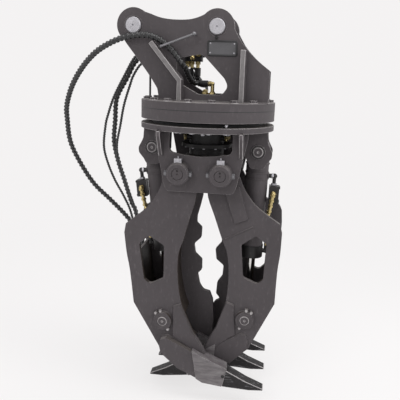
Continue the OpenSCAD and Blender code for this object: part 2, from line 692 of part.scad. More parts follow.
module grease_blocks() {
    color(steel) at_slew() both_sides() for (s = [-1, 1]) difference() {
        translate([s * hinge_x - grease_block[0] / 2, -frame_out - collar_len * grease_out_share,
            hinge_z + collar_d / 2 - grease_seat]) cube(grease_block);
        translate([s * hinge_x, -frame_out, hinge_z])
            across(collar_d / 2 + slack, -collar_len - over, over);
    }
}

// Jaws, in the frame of their hinge pin: X outward, Z up
module in_jaw(side) {
    translate([-slew_offset + side * hinge_x, 0, hinge_z])
        scale_side(side) rotate([0, side < 0 ? left_lean : -right_lean, 0]) children();
}
module scale_side(side) { if (side < 0) mirror([1, 0, 0]) children(); else children(); }
inner_line = curve(scaled(jaw_inner_shares, jaw_w, jaw_h), jaw_steps);
rod_eye_x = rod_pin_share[0] * jaw_w;
rod_eye_z = rod_pin_share[1] * jaw_h;
module jaw_side_shape(top) {
    difference() {
        union() {
            circle(r = jaw_lobe_r);
            polygon(concat([[0, 0]], curve(scaled(top, jaw_w, jaw_h), ear_steps),
                curve(scaled(jaw_side_shares, jaw_w, jaw_h), jaw_steps),
                scaled(jaw_toe_shares, jaw_w, jaw_h), inner_line));
        }
        polygon(rounded(scaled(jaw_window_shares, jaw_w, jaw_h), jaw_window_rounds));
    }
}
module grip_shape(shares, rounds) {
    polygon(rounded(scaled(concat(shares, grip_back_shares), jaw_w, jaw_h),
        concat(rounds, [for (p = grip_back_shares) small_round])));
}
wrapper_in = 14;
left_wrapper_from = 9;
right_wrapper_from = 13;
wrapper_to = len(inner_line) - 6;
wrapper_t = 14;
boss_r = 44;
boss_out = 22;
spacer_r = 36;
eye_half = 30;
beam_shares = [[0.2, -0.78], [0.38, -0.78], [0.34, -0.818], [0.2, -0.834]];
outer_wrap_shares = [[0.925, -0.4], [0.905, -0.453], [0.87, -0.6], [0.72, -0.67], [0.5, -0.77]];
// Cross plates between the side plates, with the inside one from a given place on the inner edge
module jaw_cross(out, from) {
    plate(-out + jaw_t / 2, out - jaw_t / 2) {
        polygon(strip([for (i = [from:wrapper_to]) inner_line[i]], wrapper_in, wrapper_in + wrapper_t));
        polygon(strip(scaled(outer_wrap_shares, jaw_w, jaw_h), 0, wrapper_t));
        polygon(scaled(beam_shares, jaw_w, jaw_h));
    }
}
module shank(y) {
    plate(y - shank_w / 2, y + shank_w / 2) polygon(scaled(shank_shares, jaw_w, jaw_h));
}
module jaw_bores(half) {
    across(hinge_pin_d / 2 + jaw_bush_wall + fit, -half - over, half + over);
    translate([rod_eye_x, 0, rod_eye_z]) across(rod_pin_d / 2 + fit, -frame_width, frame_width);
}
jaw_bush_wall = 8;
module jaw_hub() {
    across(hub_r, -frame_in + thrust_gap, frame_in - thrust_gap);
}
thrust_gap = 1;
module rod_bosses(out) {
    translate([rod_eye_x, 0, rod_eye_z]) both_sides() {
        across(boss_r, -out - boss_out, -out + jaw_t / 2);
        across(spacer_r, -out, -eye_half - thrust_gap);
    }
}
module toe_plates(out) {
    both_sides() plate(-out - toe_plate_t, -out) polygon(scaled(toe_plate_shares, jaw_w, jaw_h));
}
module left_plates() {
    out = left_width / 2;
    both_sides() plate(-out, -out + jaw_t) jaw_side_shape(jaw_top_shares);
    toe_plates(out);
}
module middle_plate() {
    plate(-jaw_t / 2, jaw_t / 2) {
        circle(r = hub_r);
        grip_shape(grip_shares, grip_rounds);
    }
}
module right_plates() {
    out = right_width / 2;
    plate(-out, -out + jaw_t) jaw_side_shape(jaw_top_shares);
    plate(out - jaw_t, out) {
        jaw_side_shape(jaw_shoulder_shares);
        grip_shape(high_grip_shares, high_grip_rounds);
    }
    toe_plates(out);
}
module left_jaw() {
    out = left_width / 2;
    color(paint) in_jaw(-1) difference() {
        union() {
            left_plates();
            middle_plate();
            jaw_cross(out, left_wrapper_from);
            for (y = [-tine_pitch, 0, tine_pitch]) shank(y);
            jaw_hub();
            rod_bosses(out);
        }
        jaw_bores(frame_in);
        eye_space();
    }
}
toe_plate_t = 10;
doubler_t = 12;
// Room for the rod eye and its swing between the plates
eye_room_r = 64;
module eye_space() {
    translate([rod_eye_x, 0, rod_eye_z]) across(eye_room_r, -eye_half - thrust_gap, eye_half + thrust_gap);
}
module right_jaw() {
    out = right_width / 2;
    color(paint) in_jaw(1) difference() {
        union() {
            right_plates();
            jaw_cross(out, right_wrapper_from);
            for (y = [-tine_pitch / 2, tine_pitch / 2]) shank(y);
            jaw_hub();
            rod_bosses(out);
            plate(-out - doubler_t, -out) polygon(scaled(doubler_shares, jaw_w, jaw_h));
        }
        jaw_bores(frame_in);
        eye_space();
    }
}
module jaw_bushes(side) {
    color(brass) in_jaw(side) both_sides() difference() {
        across(hinge_pin_d / 2 + jaw_bush_wall, -frame_in + thrust_gap, -frame_in + thrust_gap + bush_len);
        across(hinge_pin_d / 2 + fit, -frame_in, -frame_in + bush_len + 2 * over);
    }
}
bush_len = 50;
module left_jaw_bushes() { jaw_bushes(-1); }
module right_jaw_bushes() { jaw_bushes(1); }
module adapters(side, tines) {
    color(paint) in_jaw(side) for (y = tines) difference() {
        union() {
            plate(y - tooth_w / 2, y + tooth_w / 2) polygon(scaled(adapter_shares, jaw_w, jaw_h));
            plate(y - nose_w / 2, y + nose_w / 2) polygon(scaled(nose_shares, jaw_w, jaw_h));
        }
        plate(y - shank_w / 2 - fit, y + shank_w / 2 + fit) polygon(scaled(shank_shares, jaw_w, jaw_h));
        for (i = [0:$children - 1]) children(i);
    }
}
nose_w = 36;
nose_play = 1;
left_tines = [-tine_pitch, 0, tine_pitch];
right_tines = [-tine_pitch / 2, tine_pitch / 2];
module left_adapters() {
    adapters(-1, left_tines) {
        left_plates();
        middle_plate();
    }
}
module right_adapters() { adapters(1, right_tines) right_plates(); }
tip_w_share = 0.8;
module teeth(side, tines) {
    long = [tooth_shares[0][0] * jaw_w, tooth_shares[2][0] * jaw_w];
    color(dark) in_jaw(side) for (y = tines) difference() {
        intersection() {
            plate(y - tooth_w, y + tooth_w) polygon(scaled(tooth_shares, jaw_w, jaw_h));
            translate([0, y, -jaw_h - over]) linear_extrude(jaw_h)
                polygon([[long[0] + tooth_w / 2, -tooth_w / 2], [long[0] + tooth_w / 2, tooth_w / 2],
                    [long[0], tooth_w / 2], [long[1], tooth_w * tip_w_share / 2],
                    [long[1], -tooth_w * tip_w_share / 2], [long[0], -tooth_w / 2]]);
        }
        plate(y - nose_w / 2 - nose_play, y + nose_w / 2 + nose_play)
            offset_nose();
        plate(y - tooth_w / 2 - over, y + tooth_w / 2 + over)
            polygon(scaled(adapter_shares, jaw_w, jaw_h));
    }
}
module offset_nose() {
    p = scaled(nose_shares, jaw_w, jaw_h);
    polygon([p[0] + [0, nose_play], p[1] + [-nose_play, nose_play], p[2] + [-nose_play, -nose_play],
        p[3] + [0, -nose_play]]);
}
module left_teeth() { teeth(-1, left_tines); }
module right_teeth() { teeth(1, right_tines); }
module rod_pin(side, out) {
    color(paint) in_jaw(side) translate([rod_eye_x, 0, rod_eye_z])
        marked_pin(rod_pin_d, out + boss_out + over, pin_edge);
}
module left_rod_pin() { rod_pin(-1, left_width / 2); }
module right_rod_pin() { rod_pin(1, right_width / 2); }
keeper = [26, 14, 16];
keeper_turns = [-50, -80, 120];
module pin_keepers(side, out) {
    color(paint) in_jaw(side) translate([rod_eye_x, 0, rod_eye_z]) both_sides() for (q = keeper_turns)
        rotate([0, q, 0]) translate([boss_r + slack, -out - keeper[1], -keeper[2] / 2]) {
            cube([keeper[0] / 2, keeper[1], keeper[2]]);
            translate([keeper[0] / 4, 0, keeper[2] / 2]) across(keeper[2] / 3, -keeper[1] / 2, 0);
        }
}
module left_pin_keepers() { pin_keepers(-1, left_width / 2); }
module right_pin_keepers() { pin_keepers(1, right_width / 2); }

// Cylinders, in the frame of their pin: Z down the rod, X outward
function rod_place(side) =
    let (q = side < 0 ? -left_lean : right_lean, v = turned([rod_eye_x, rod_eye_z], q))
    [hinge_x + v[0], hinge_z + v[1]];
function rod_vector(side) = rod_place(side) - [cylinder_x, cylinder_z];
module in_cylinder(side) {
    v = rod_vector(side);
    translate([-slew_offset + side * cylinder_x, 0, cylinder_z])
        scale_side(side) rotate([0, half_turn - atan2(v[0], -v[1]), 0]) mirror([1, 0, 0]) children();
}
eye_r = 56;
cap_len = 62;
band_t = 6;
band_out = 3;
band_places = [104, 133];
gland_r = 58;
tube_wall = 12;
piston_len = 60;
piston_back = 60;
port_place = 121.5;
port_r = 11;
port_out = 86;
port_tube_share = 0.8;
gland_port_inset = 30;
gland_port_place = barrel_len - gland_port_inset;
gland_port_out = 72;
port_stub = 30;
module barrel(side) {
    color(paint) in_cylinder(side) difference() {
        union() {
            across(eye_r, -bracket_gap / 2 + thrust_gap, bracket_gap / 2 - thrust_gap);
            cylinder(h = barrel_len - gland_len, r = barrel_d / 2);
            for (z = band_places) translate([0, 0, z]) cylinder(h = band_t, r = barrel_d / 2 + band_out);
        }
        across(rod_pin_d / 2 + fit, -bracket_gap, bracket_gap);
        translate([0, 0, cap_len + rod_pin_d / 2]) cylinder(h = barrel_len, r = barrel_d / 2 - tube_wall);
    }
}
module gland(side) {
    color(dark) in_cylinder(side) difference() {
        union() {
            translate([0, 0, barrel_len - gland_len]) cylinder(h = gland_len, r = gland_r);
            translate([0, 0, gland_port_place]) {
                along(port_r, barrel_d / 2 - tube_wall, gland_port_out);
                translate([gland_port_out, 0, 0]) sphere(r = port_r + elbow_bulge);
                translate([gland_port_out, 0, -port_stub])
                    cylinder(h = port_stub, r = port_r * port_tube_share);
            }
        }
        translate([0, 0, barrel_len - gland_len - over])
            cylinder(h = gland_len + 2 * over, r = rod_d / 2 + fit);
    }
}
function rod_len(side) = norm(rod_vector(side));
// The rod eye is bored wide across the rod, so that the pin stays clear over the whole swing
eye_play = 4;
eye_shift = 12;
rod_eye_r = 48;
rod_start = barrel_len - gland_len - piston_len - piston_back;
module rod(side) {
    l = rod_len(side);
    color(steel) in_cylinder(side) difference() {
        union() {
            translate([0, 0, rod_start]) {
                cylinder(h = l - rod_start - rod_eye_r / 2, r = rod_d / 2);
                cylinder(h = piston_len, r = barrel_d / 2 - tube_wall - fit);
            }
            translate([0, 0, l]) across(rod_eye_r, -eye_half, eye_half);
        }
        for (s = [-1, 1]) translate([s * eye_shift, 0, l])
            across(rod_pin_d / 2 + eye_play, -eye_half - over, eye_half + over);
        translate([-eye_shift, -eye_half - over, l - rod_pin_d / 2 - eye_play])
            cube([2 * eye_shift, 2 * eye_half + 2 * over, rod_pin_d + 2 * eye_play]);
    }
}
valve_size = [50, 50, 84];
valve_place = [64, 169];
module valve(side) {
    color(dark) in_cylinder(side) {
        translate([0, 0, port_place]) along(port_r, barrel_d / 2 + slack, port_out);
        translate([port_out, 0, port_place]) sphere(r = port_r + over);
        translate([port_out, 0, port_place])
            cylinder(h = valve_place[1] - port_place, r = port_r * port_tube_share);
        translate([valve_place[0], -valve_size[1] / 2, valve_place[1]]) cube(valve_size);
    }
}
brass_top = [87, 205];
brass_low = [73, 298];
brass_out = 40;
module valve_brass(side) {
    color(brass) in_cylinder(side) {
        translate([brass_top[0], 0, brass_top[1]]) across(stub_r, -brass_out, -valve_size[1] / 2);
        translate([brass_top[0], -brass_out, brass_top[1]]) sphere(r = stub_r + over);
        rod_between([brass_top[0], -brass_out, brass_top[1]], [brass_low[0], -brass_out, brass_low[1]],
            stub_r);
    }
}
module left_barrel() { barrel(-1); }
module right_barrel() { barrel(1); }
module left_gland() { gland(-1); }
module right_gland() { gland(1); }
module left_rod() { rod(-1); }
module right_rod() { rod(1); }
module left_valve() { valve(-1); }
module right_valve() { valve(1); }
module left_brass() { valve_brass(-1); }
module right_brass() { valve_brass(1); }

// Hose routes: points chosen by hand, millimetres
route_a = [[-80, 0, -249], [-100, 0, -249], [-122, -22, -244], [-134, -70, -218], [-140, -120, -186],
    [-154, -154, -162], [-180, -168, -126], [-212, -168, -92], [-250, -171, -64], [-296, -175, -46],
    [-350, -178, -44], [-413, -170, -54], [-489, -150, -80], [-575, -110, -124], [-662, -50, -193],
    [-742, 20, -282], [-800, 90, -381], [-820, 140, -460], [-830, 200, -582], [-795, 240, -697],
    [-724, 270, -824], [-630, 290, -921], [-535, 300, -1019], [-463, 310, -1125], [-425, 310, -1240],
    [-412, 310, -1330], [-410, 310, -1380], [-410, 310, -1400]];
route_b = [[-118, 94, -204], [-118, 94, -212], [-118, 106, -236], [-118, 142, -246], [-120, 182, -238],
    [-140, 212, -218], [-190, 224, -186], [-260, 220, -154], [-340, 210, -128], [-410, 198, -124],
    [-460, 190, -150], [-507, 192, -234], [-568, 210, -340], [-587, 240, -460], [-600, 260, -577],
    [-583, 280, -691], [-553, 300, -802], [-517, 320, -933], [-495, 330, -987], [-471, 340, -1134],
    [-455, 345, -1300], [-450, 345, -1390], [-450, 345, -1430], [-450, 345, -1450]];
route_c = [[-147, 94, -190], [-147, 94, -200], [-144, 106, -222], [-138, 136, -226], [-134, 178, -204],
    [-150, 206, -178], [-200, 212, -150], [-270, 206, -122], [-350, 194, -100], [-410, 180, -104],
    [-458, 164, -130], [-514, 165, -225], [-575, 180, -334], [-615, 200, -432], [-632, 210, -489],
    [-649, 230, -604], [-633, 250, -701], [-597, 262, -797], [-545, 270, -894], [-506, 270, -982],
    [-478, 272, -1119], [-471, 272, -1300], [-470, 272, -1380], [-470, 272, -1400]];
route_d = [[-66, 35, -288], [-66, 55, -288], [-68, 85, -280], [-74, 117, -268], [-82, 150, -262],
    [-96, 190, -264], [-125, 216, -260], [-190, 224, -232], [-260, 222, -198], [-340, 212, -168],
    [-400, 198, -152], [-434, 185, -166], [-468, 178, -220], [-486, 175, -270], [-523, 190, -375],
    [-549, 210, -483], [-575, 230, -595], [-570, 246, -697], [-535, 250, -802], [-495, 250, -900],
    [-470, 250, -987], [-450, 250, -1119], [-441, 250, -1300], [-440, 250, -1380],
    [-440, 250, -1400]];
// Jumper hose on a cylinder, in the frame of its pin
jumper_route = [[70, -40, 315], [68, -40, 330], [69, -42, 365], [72, -28, 400], [72, -5, 426],
    [72, 0, 442], [72, 0, 458]];
jumper_d = 17;
rib_pitch = 22;
rib_depth = 2.5;
bore_r = 6;
tube_sides = 8;
curve_steps = 8;
thin_ring_step = 50;
side_hint = [0.3, 1, 0.2];

// Straight ends one diameter long, with the curve between them
function with_ends(route, d) =
    let (k = len(route) - 1)
    concat([route[0] + unit(route[0] - route[1]) * d], curve(route, curve_steps),
        [route[k] + unit(route[k] - route[k - 1]) * d]);
function lengths(p) =
    [for (i = 0, s = 0; i < len(p); s = s + (i < len(p) - 1 ? norm(p[i + 1] - p[i]) : 0), i = i + 1) s];
// Point at the distance t along p, searched from the piece i
function at_length(p, s, t, i) =
    i >= len(p) - 2 || s[i + 1] >= t ? p[i] + (p[i + 1] - p[i]) * (t - s[i]) / (s[i + 1] - s[i])
        : at_length(p, s, t, i + 1);
function spaced(p, n) =
    let (s = lengths(p)) [for (i = [0:n]) at_length(p, s, s[len(s) - 1] * i / n, 0)];
// Directions of the line p at its places c; the end faces stay square to the line's own ends
function tangents(c, p) =
    let (n = len(c) - 1, k = len(p) - 1)
    [for (i = [0:n]) i == 0 ? unit(p[1] - p[0]) : i == n ? unit(p[k] - p[k - 1]) : unit(c[i + 1] - c[i - 1])];
// Normals that turn with the line and never twist about it
function normals(t) =
    [for (i = 0, v = unit(cross(t[0], side_hint)); i < len(t);
        i = i + 1, v = i < len(t) ? unit(v - t[i] * (t[i] * v)) : v) v];
function ring(c, t, v, r) =
    [for (j = [0:tube_sides - 1]) let (a = full_turn * j / tube_sides)
        c + r * (v * cos(a) + cross(t, v) * sin(a))];
// Two triangles for each side between the rings that start at a and at b
function band(a, b) =
    [for (j = [0:tube_sides - 1]) let (k = (j + 1) % tube_sides)
        each [[a + j, b + j, b + k], [a + j, b + k, a + k]]];
module tube(route, d, step) {
    p = with_ends(route, d);
    s = lengths(p);
    n = round(s[len(s) - 1] / step);
    c = spaced(p, n);
    t = tangents(c, p);
    v = normals(t);
    polyhedron(points = [for (i = [0:n]) each ring(c[i], t[i], v[i], d / 2)],
        faces = concat([for (j = [1:tube_sides - 2]) [0, j, j + 1]],
            [for (j = [1:tube_sides - 2]) [n * tube_sides, n * tube_sides + j + 1, n * tube_sides + j]],
            [for (i = [0:n - 1]) each band(i * tube_sides, (i + 1) * tube_sides)]), convexity = 10);
}
// Ribbed hose with its bore: one ring on each rib and one in each valley, plain for a diameter at the ends
module ribbed_tube(route, d) {
    p = with_ends(route, d);
    s = lengths(p);
    n = 4 * round(s[len(s) - 1] / rib_pitch / 2);
    c = spaced(p, n);
    t = tangents(c, p);
    v = normals(t);
    plain = ceil(2 * d / rib_pitch);
    bores = [for (i = [0:4:n]) i];
    inside = (n + 1) * tube_sides;
    last = inside + (len(bores) - 1) * tube_sides;
    echo(ribs = n / 2 - plain);
    polyhedron(points = concat(
            [for (i = [0:n]) each ring(c[i], t[i], v[i],
                d / 2 - (i % 2 == 0 || i < plain || i > n - plain ? 0 : rib_depth))],
            [for (i = bores) each ring(c[i], t[i], v[i], bore_r)]),
        faces = concat([for (i = [0:n - 1]) each band(i * tube_sides, (i + 1) * tube_sides)],
            [for (i = [0:len(bores) - 2]) each
                band(inside + (i + 1) * tube_sides, inside + i * tube_sides)],
            band(inside, 0), band(n * tube_sides, last)), convexity = 10);
}
module guarded_hose_a() { color(rubber) ribbed_tube(route_a, guarded_d); }
module guarded_hose_b() { color(rubber) ribbed_tube(route_b, guarded_d); }
module thin_hose_a() { color(rubber) tube(route_c, thin_d, thin_ring_step); }
module thin_hose_b() { color(rubber) tube(route_d, thin_d, thin_ring_step); }
module left_jumper_hose() { color(rubber) in_cylinder(-1) tube(jumper_route, jumper_d, thin_ring_step / 2); }
module right_jumper_hose() { color(rubber) in_cylinder(1) tube(jumper_route, jumper_d, thin_ring_step / 2); }
// Quick couplings at the machine ends of the hoses: hexagon, sleeve and plain end
coupling_nut = 18;
coupling_sleeve = 40;
coupling_end = 20;
coupling_end_share = 0.6;
coupling_nut_share = 1.2;
module hose_couplings() {
    color(steel) for (r = [[route_a, guarded_d], [route_b, guarded_d], [route_c, thin_d], [route_d, thin_d]])
        let (e = r[0][len(r[0]) - 1], w = r[1] / 2 + over) translate([e[0], e[1], e[2] - r[1]])
            mirror([0, 0, 1]) {
                cylinder(h = coupling_nut, r = w * coupling_nut_share, $fn = 6);
                cylinder(h = coupling_nut + coupling_sleeve, r = w);
                cylinder(h = coupling_nut + coupling_sleeve + coupling_end, r = w * coupling_end_share);
            }
}

front_ear();
rear_ear();
ear_ribs();
head_webs();
ear_bushes();
mounting_pins();
nameplate();
head_flange();
flange_bolts();
outer_ring();
ring_balls();
slew_motor();
swivel_core();
head_fittings();
relief_block();
hose_guide();
grease_line();
guarded_hose_a();
guarded_hose_b();
thin_hose_a();
thin_hose_b();
hose_couplings();
pinion();
inner_ring();
turntable_bolts();
lower_flange();
front_hinge_plate();
rear_hinge_plate();
frame_gussets();
cylinder_brackets();
pin_collars();
hinge_pins();
collar_bolts();
grease_blocks();
cylinder_pins();
swivel_housing();
left_jaw();
left_adapters();
left_teeth();
left_rod_pin();
left_pin_keepers();
left_jaw_bushes();
right_jaw();
right_adapters();
right_teeth();
right_rod_pin();
right_pin_keepers();
right_jaw_bushes();
left_barrel();
left_gland();
left_valve();
left_brass();
left_jumper_hose();
left_rod();
right_barrel();
right_gland();
right_valve();
right_brass();
right_jumper_hose();
right_rod();
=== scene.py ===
import json
from math import cos, pi, radians, sin

import bmesh
import bpy
from bpy.props import FloatProperty, FloatVectorProperty, IntProperty, PointerProperty
from mathutils import Matrix, Vector


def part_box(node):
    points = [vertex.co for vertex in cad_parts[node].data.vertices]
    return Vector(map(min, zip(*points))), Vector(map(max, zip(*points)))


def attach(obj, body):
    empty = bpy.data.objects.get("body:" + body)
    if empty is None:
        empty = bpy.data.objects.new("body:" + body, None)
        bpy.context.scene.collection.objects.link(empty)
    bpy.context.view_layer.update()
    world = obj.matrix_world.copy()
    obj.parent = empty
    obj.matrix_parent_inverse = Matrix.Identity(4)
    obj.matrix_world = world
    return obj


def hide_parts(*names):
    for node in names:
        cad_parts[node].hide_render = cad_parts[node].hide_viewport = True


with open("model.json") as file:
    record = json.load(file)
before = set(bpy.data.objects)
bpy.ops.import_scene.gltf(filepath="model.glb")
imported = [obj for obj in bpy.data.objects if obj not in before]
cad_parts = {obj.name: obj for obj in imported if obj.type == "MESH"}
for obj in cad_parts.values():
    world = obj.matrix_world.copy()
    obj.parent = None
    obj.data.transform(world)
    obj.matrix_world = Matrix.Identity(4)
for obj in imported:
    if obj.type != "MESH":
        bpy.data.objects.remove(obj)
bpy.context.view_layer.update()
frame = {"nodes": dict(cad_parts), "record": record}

bl_info = {
    "name": "Rotating Grapple Looks",
    "version": (1, 0, 0),
    "blender": (4, 5, 0),
    "location": "View3D > Sidebar > Grapple",
    "description": "Dresses the rotating grapple with its finishes, hoses, welds and small parts",
    "category": "Object",
}

SLOTS = {part["node"]: part["material_slot"] for part in frame["record"]["subparts"]}

# Lengths below are millimetres in the frame of the solids, and become metres in the meshes
MM = 0.001
SLEW_X = -48.0
FLANGE_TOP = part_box("head_flange")[1].z / MM
RING_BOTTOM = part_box("outer_ring")[0].z / MM
LOWER_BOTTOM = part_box("lower_flange")[0].z / MM
EAR_FACE = -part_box("front_ear")[0].y / MM
EAR_BACK = -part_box("front_ear")[1].y / MM
PLATE_FACE = -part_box("front_hinge_plate")[0].y / MM
RIB_REACH = 42.0
GUSSET_REACH = 62.0
GUSSET_X = 184.4
# Depth of the pale front band: rubbed paint with a painted highlight
RUBBED_AND_HIGHLIT_DEPTH = 1.5
BOLT_CIRCLE = 295.0
FLANGE_R = 320.0
MOTOR_X = 120.0
RELIEF_FACE = 71.0
KEEPER_REACH = 14.0
PIN_REACH = 22.0
SWIVEL_PORTS = 106.0
SWIVEL_RIM = 108.0
HINGE_Z = -650.0
HINGE_X = 97.0
PIN_Z = -555.0
PIN_X = 255.5
LEAN = {-1: -2.7, 1: 2.7}
CYLINDER_LEAN = {-1: -6.144, 1: -1.421}
SIDE_NAME = {-1: "left", 1: "right"}
HALF_WIDTH = {-1: 191.0, 1: 122.0}
TINES = {-1: (-200.0, 0.0, 200.0), 1: (-100.0, 100.0)}
ROD_PIN = (103.04, -741.96)

# The photograph's camera: yaw, pitch and roll in degrees, place in metres, lens in millimetres
PHOTO_TURN = (8.0, 12.9, 1.8)
PHOTO_PLACE = (0.2894, -2.5803, -0.2247)
PHOTO_LENS = 47.8

# Hose routes, the same points as the solids have
ROUTE_A = [(-80, 0, -249), (-100, 0, -249), (-122, -22, -244), (-134, -70, -218), (-140, -120, -186),
    (-154, -154, -162), (-180, -168, -126), (-212, -168, -92), (-250, -171, -64), (-296, -175, -46),
    (-350, -178, -44), (-413, -170, -54), (-489, -150, -80), (-575, -110, -124), (-662, -50, -193),
    (-742, 20, -282), (-800, 90, -381), (-820, 140, -460), (-830, 200, -582), (-795, 240, -697),
    (-724, 270, -824), (-630, 290, -921), (-535, 300, -1019), (-463, 310, -1125), (-425, 310, -1240),
    (-412, 310, -1330), (-410, 310, -1380), (-410, 310, -1400)]
ROUTE_B = [(-118, 94, -204), (-118, 94, -212), (-118, 106, -236), (-118, 142, -246), (-120, 182, -238),
    (-140, 212, -218), (-190, 224, -186), (-260, 220, -154), (-340, 210, -128), (-410, 198, -124),
    (-460, 190, -150), (-507, 192, -234), (-568, 210, -340), (-587, 240, -460), (-600, 260, -577),
    (-583, 280, -691), (-553, 300, -802), (-517, 320, -933), (-495, 330, -987), (-471, 340, -1134),
    (-455, 345, -1300), (-450, 345, -1390), (-450, 345, -1430), (-450, 345, -1450)]
ROUTE_C = [(-147, 94, -190), (-147, 94, -200), (-144, 106, -222), (-138, 136, -226), (-134, 178, -204),
    (-150, 206, -178), (-200, 212, -150), (-270, 206, -122), (-350, 194, -100), (-410, 180, -104),
    (-458, 164, -130), (-514, 165, -225), (-575, 180, -334), (-615, 200, -432), (-632, 210, -489),
    (-649, 230, -604), (-633, 250, -701), (-597, 262, -797), (-545, 270, -894), (-506, 270, -982),
    (-478, 272, -1119), (-471, 272, -1300), (-470, 272, -1380), (-470, 272, -1400)]
ROUTE_D = [(-66, 35, -288), (-66, 55, -288), (-68, 85, -280), (-74, 117, -268), (-82, 150, -262),
    (-96, 190, -264), (-125, 216, -260), (-190, 224, -232), (-260, 222, -198), (-340, 212, -168),
    (-400, 198, -152), (-434, 185, -166), (-468, 178, -220), (-486, 175, -270), (-523, 190, -375),
    (-549, 210, -483), (-575, 230, -595), (-570, 246, -697), (-535, 250, -802), (-495, 250, -900),
    (-470, 250, -987), (-450, 250, -1119), (-441, 250, -1300), (-440, 250, -1380), (-440, 250, -1400)]
JUMPER = [(70, -40, 315), (68, -40, 330), (69, -42, 365), (72, -28, 400), (72, -5, 426),
    (72, 0, 442), (72, 0, 458)]


def length(name, description, default, low, high):
    return FloatProperty(name=name, description=description, default=default, min=low, max=high,
        subtype="DISTANCE", unit="LENGTH")


def shade(name, description, default):
    return FloatVectorProperty(name=name, description=description, default=default, size=3, min=0,
        max=1, subtype="COLOR")


class GrappleSizes(bpy.types.PropertyGroup):
    edge_round: length("Edge rounding", "Width of the rounded plate edges", 0.003, 0.0005, 0.006)
    bead: length("Weld bead", "Radius of the weld beads", 0.0055, 0.003, 0.009)
    guard_pitch: length("Guard pitch", "Pitch of the spiral guard on the hoses", 0.022, 0.016, 0.03)
    guard_share: FloatProperty(name="Guard share", description="Share of the pitch the strip fills",
        default=0.62, min=0.4, max=0.85)
    thin_pitch: length("Thin guard pitch", "Pitch of the guard on the thin hoses", 0.014, 0.011, 0.02)
    guarded: length("Guarded hose", "Outside diameter of the guarded hoses", 0.029, 0.026, 0.032)
    thin: length("Thin hose", "Outside diameter of the thin hoses", 0.015, 0.013, 0.017)
    jumper: length("Jumper hose", "Outside diameter of the jumper hoses", 0.017, 0.014, 0.02)
    floor_level: length("Floor level", "Height of the studio floor", -1.80, -2.5, -1.75)
    flange_bolts: IntProperty(name="Flange bolts", description="Number of bolts round the head flange",
        default=18, min=12, max=18)


class GrappleColours(bpy.types.PropertyGroup):
    paint: shade("Paint", "Dark grey satin paint", (0.058, 0.051, 0.054))
    worn: shade("Worn edge", "Paint rubbed thin along the edges", (0.20, 0.19, 0.19))
    # Pale colour of the upward faces: dust, and a painted highlight of the light from above
    dust_and_top_light: shade("Dust", "Dust on the upper faces", (0.24, 0.22, 0.21))
    steel: shade("Bare steel", "Machined steel of the mounting pins", (0.50, 0.49, 0.52))
    rubber: shade("Rubber", "Hose cover and spiral guard", (0.013, 0.013, 0.014))
    brass: shade("Fittings", "Yellow passivated fittings", (0.52, 0.42, 0.20))
    studio: shade("Studio", "Floor and background", (0.905, 0.89, 0.89))


def sizes():
    return bpy.context.scene.grapple_sizes


def colours():
    return bpy.context.scene.grapple_colours


# Shader expressions


class Wire:
    """A node's output. Arithmetic on it adds Math nodes to its recipe."""

    def __init__(self, recipe, socket):
        self.recipe = recipe
        self.socket = socket

    def out(self, name):
        return Wire(self.recipe, self.socket.node.outputs[name])

    def math(self, operation, first, second=0.0):
        return self.recipe.add("ShaderNodeMath", {"operation": operation}, {0: first, 1: second})

    def __add__(self, other):
        return self.math("ADD", self, other)

    def __radd__(self, other):
        return self.math("ADD", other, self)

    def __sub__(self, other):
        return self.math("SUBTRACT", self, other)

    def __rsub__(self, other):
        return self.math("SUBTRACT", other, self)

    def __mul__(self, other):
        return self.math("MULTIPLY", self, other)

    def __rmul__(self, other):
        return self.math("MULTIPLY", other, self)

    def __truediv__(self, other):
        return self.math("DIVIDE", self, other)

    def __rtruediv__(self, other):
        return self.math("DIVIDE", other, self)

    def least(self, other):
        return self.math("MINIMUM", self, other)

    def held(self):
        return self.recipe.add("ShaderNodeClamp", {}, {"Value": self})

    def sine(self):
        return self.math("SINE", self)


class Recipe:
    """Builds one finish out of nodes."""

    def __init__(self, material):
        self.tree = material.node_tree
        self.tree.nodes.clear()

    def add(self, kind, settings=None, sockets=None, output=0):
        node = self.tree.nodes.new(kind)
        for key, value in (settings or {}).items():
            setattr(node, key, value)
        for key, value in (sockets or {}).items():
            if isinstance(value, Wire):
                self.tree.links.new(value.socket, node.inputs[key])
            else:
                node.inputs[key].default_value = value
        return Wire(self, node.outputs[output]) if node.outputs else node

    def place(self):
        return self.add("ShaderNodeTexCoord", output="Object")

    def along(self, axis):
        return self.add("ShaderNodeSeparateXYZ", {}, {0: self.place()}, axis)

    def facing(self, axis):
        normal = self.add("ShaderNodeTexCoord", output="Normal")
        return self.add("ShaderNodeSeparateXYZ", {}, {0: normal}, axis)

    def upward(self):
        return self.facing("Z")

    def stretched(self, scale):
        return self.add("ShaderNodeMapping", {"vector_type": "POINT"},
            {"Vector": self.place(), "Scale": scale})

    def noise(self, scale, detail=3.0, along=None, roughness=0.55):
        return self.add("ShaderNodeTexNoise", {"noise_dimensions": "3D"},
            {"Vector": along or self.place(), "Scale": scale, "Detail": detail,
             "Roughness": roughness})

    def cells(self, scale):
        return self.add("ShaderNodeTexVoronoi", {"feature": "F1"},
            {"Vector": self.place(), "Scale": scale}, "Distance")

    def mix(self, share, first, second):
        return self.add("ShaderNodeMix", {"data_type": "RGBA"},
            {0: share, 6: first, 7: second}, 2)

    def distance(self, point):
        gap = self.add("ShaderNodeVectorMath", {"operation": "SUBTRACT"},
            {0: self.place(), 1: point})
        flat = self.add("ShaderNodeVectorMath", {"operation": "MULTIPLY"}, {0: gap, 1: (1, 0, 1)})
        return self.add("ShaderNodeVectorMath", {"operation": "LENGTH"}, {0: flat}, "Value")

    def bump(self, height, depth, strength=1.0):
        return self.add("ShaderNodeBump", {},
            {"Height": height, "Distance": depth, "Strength": strength})

    def surface(self, sockets):
        shader = self.add("ShaderNodeBsdfPrincipled", {}, sockets)
        self.add("ShaderNodeOutputMaterial", {}, {"Surface": shader})


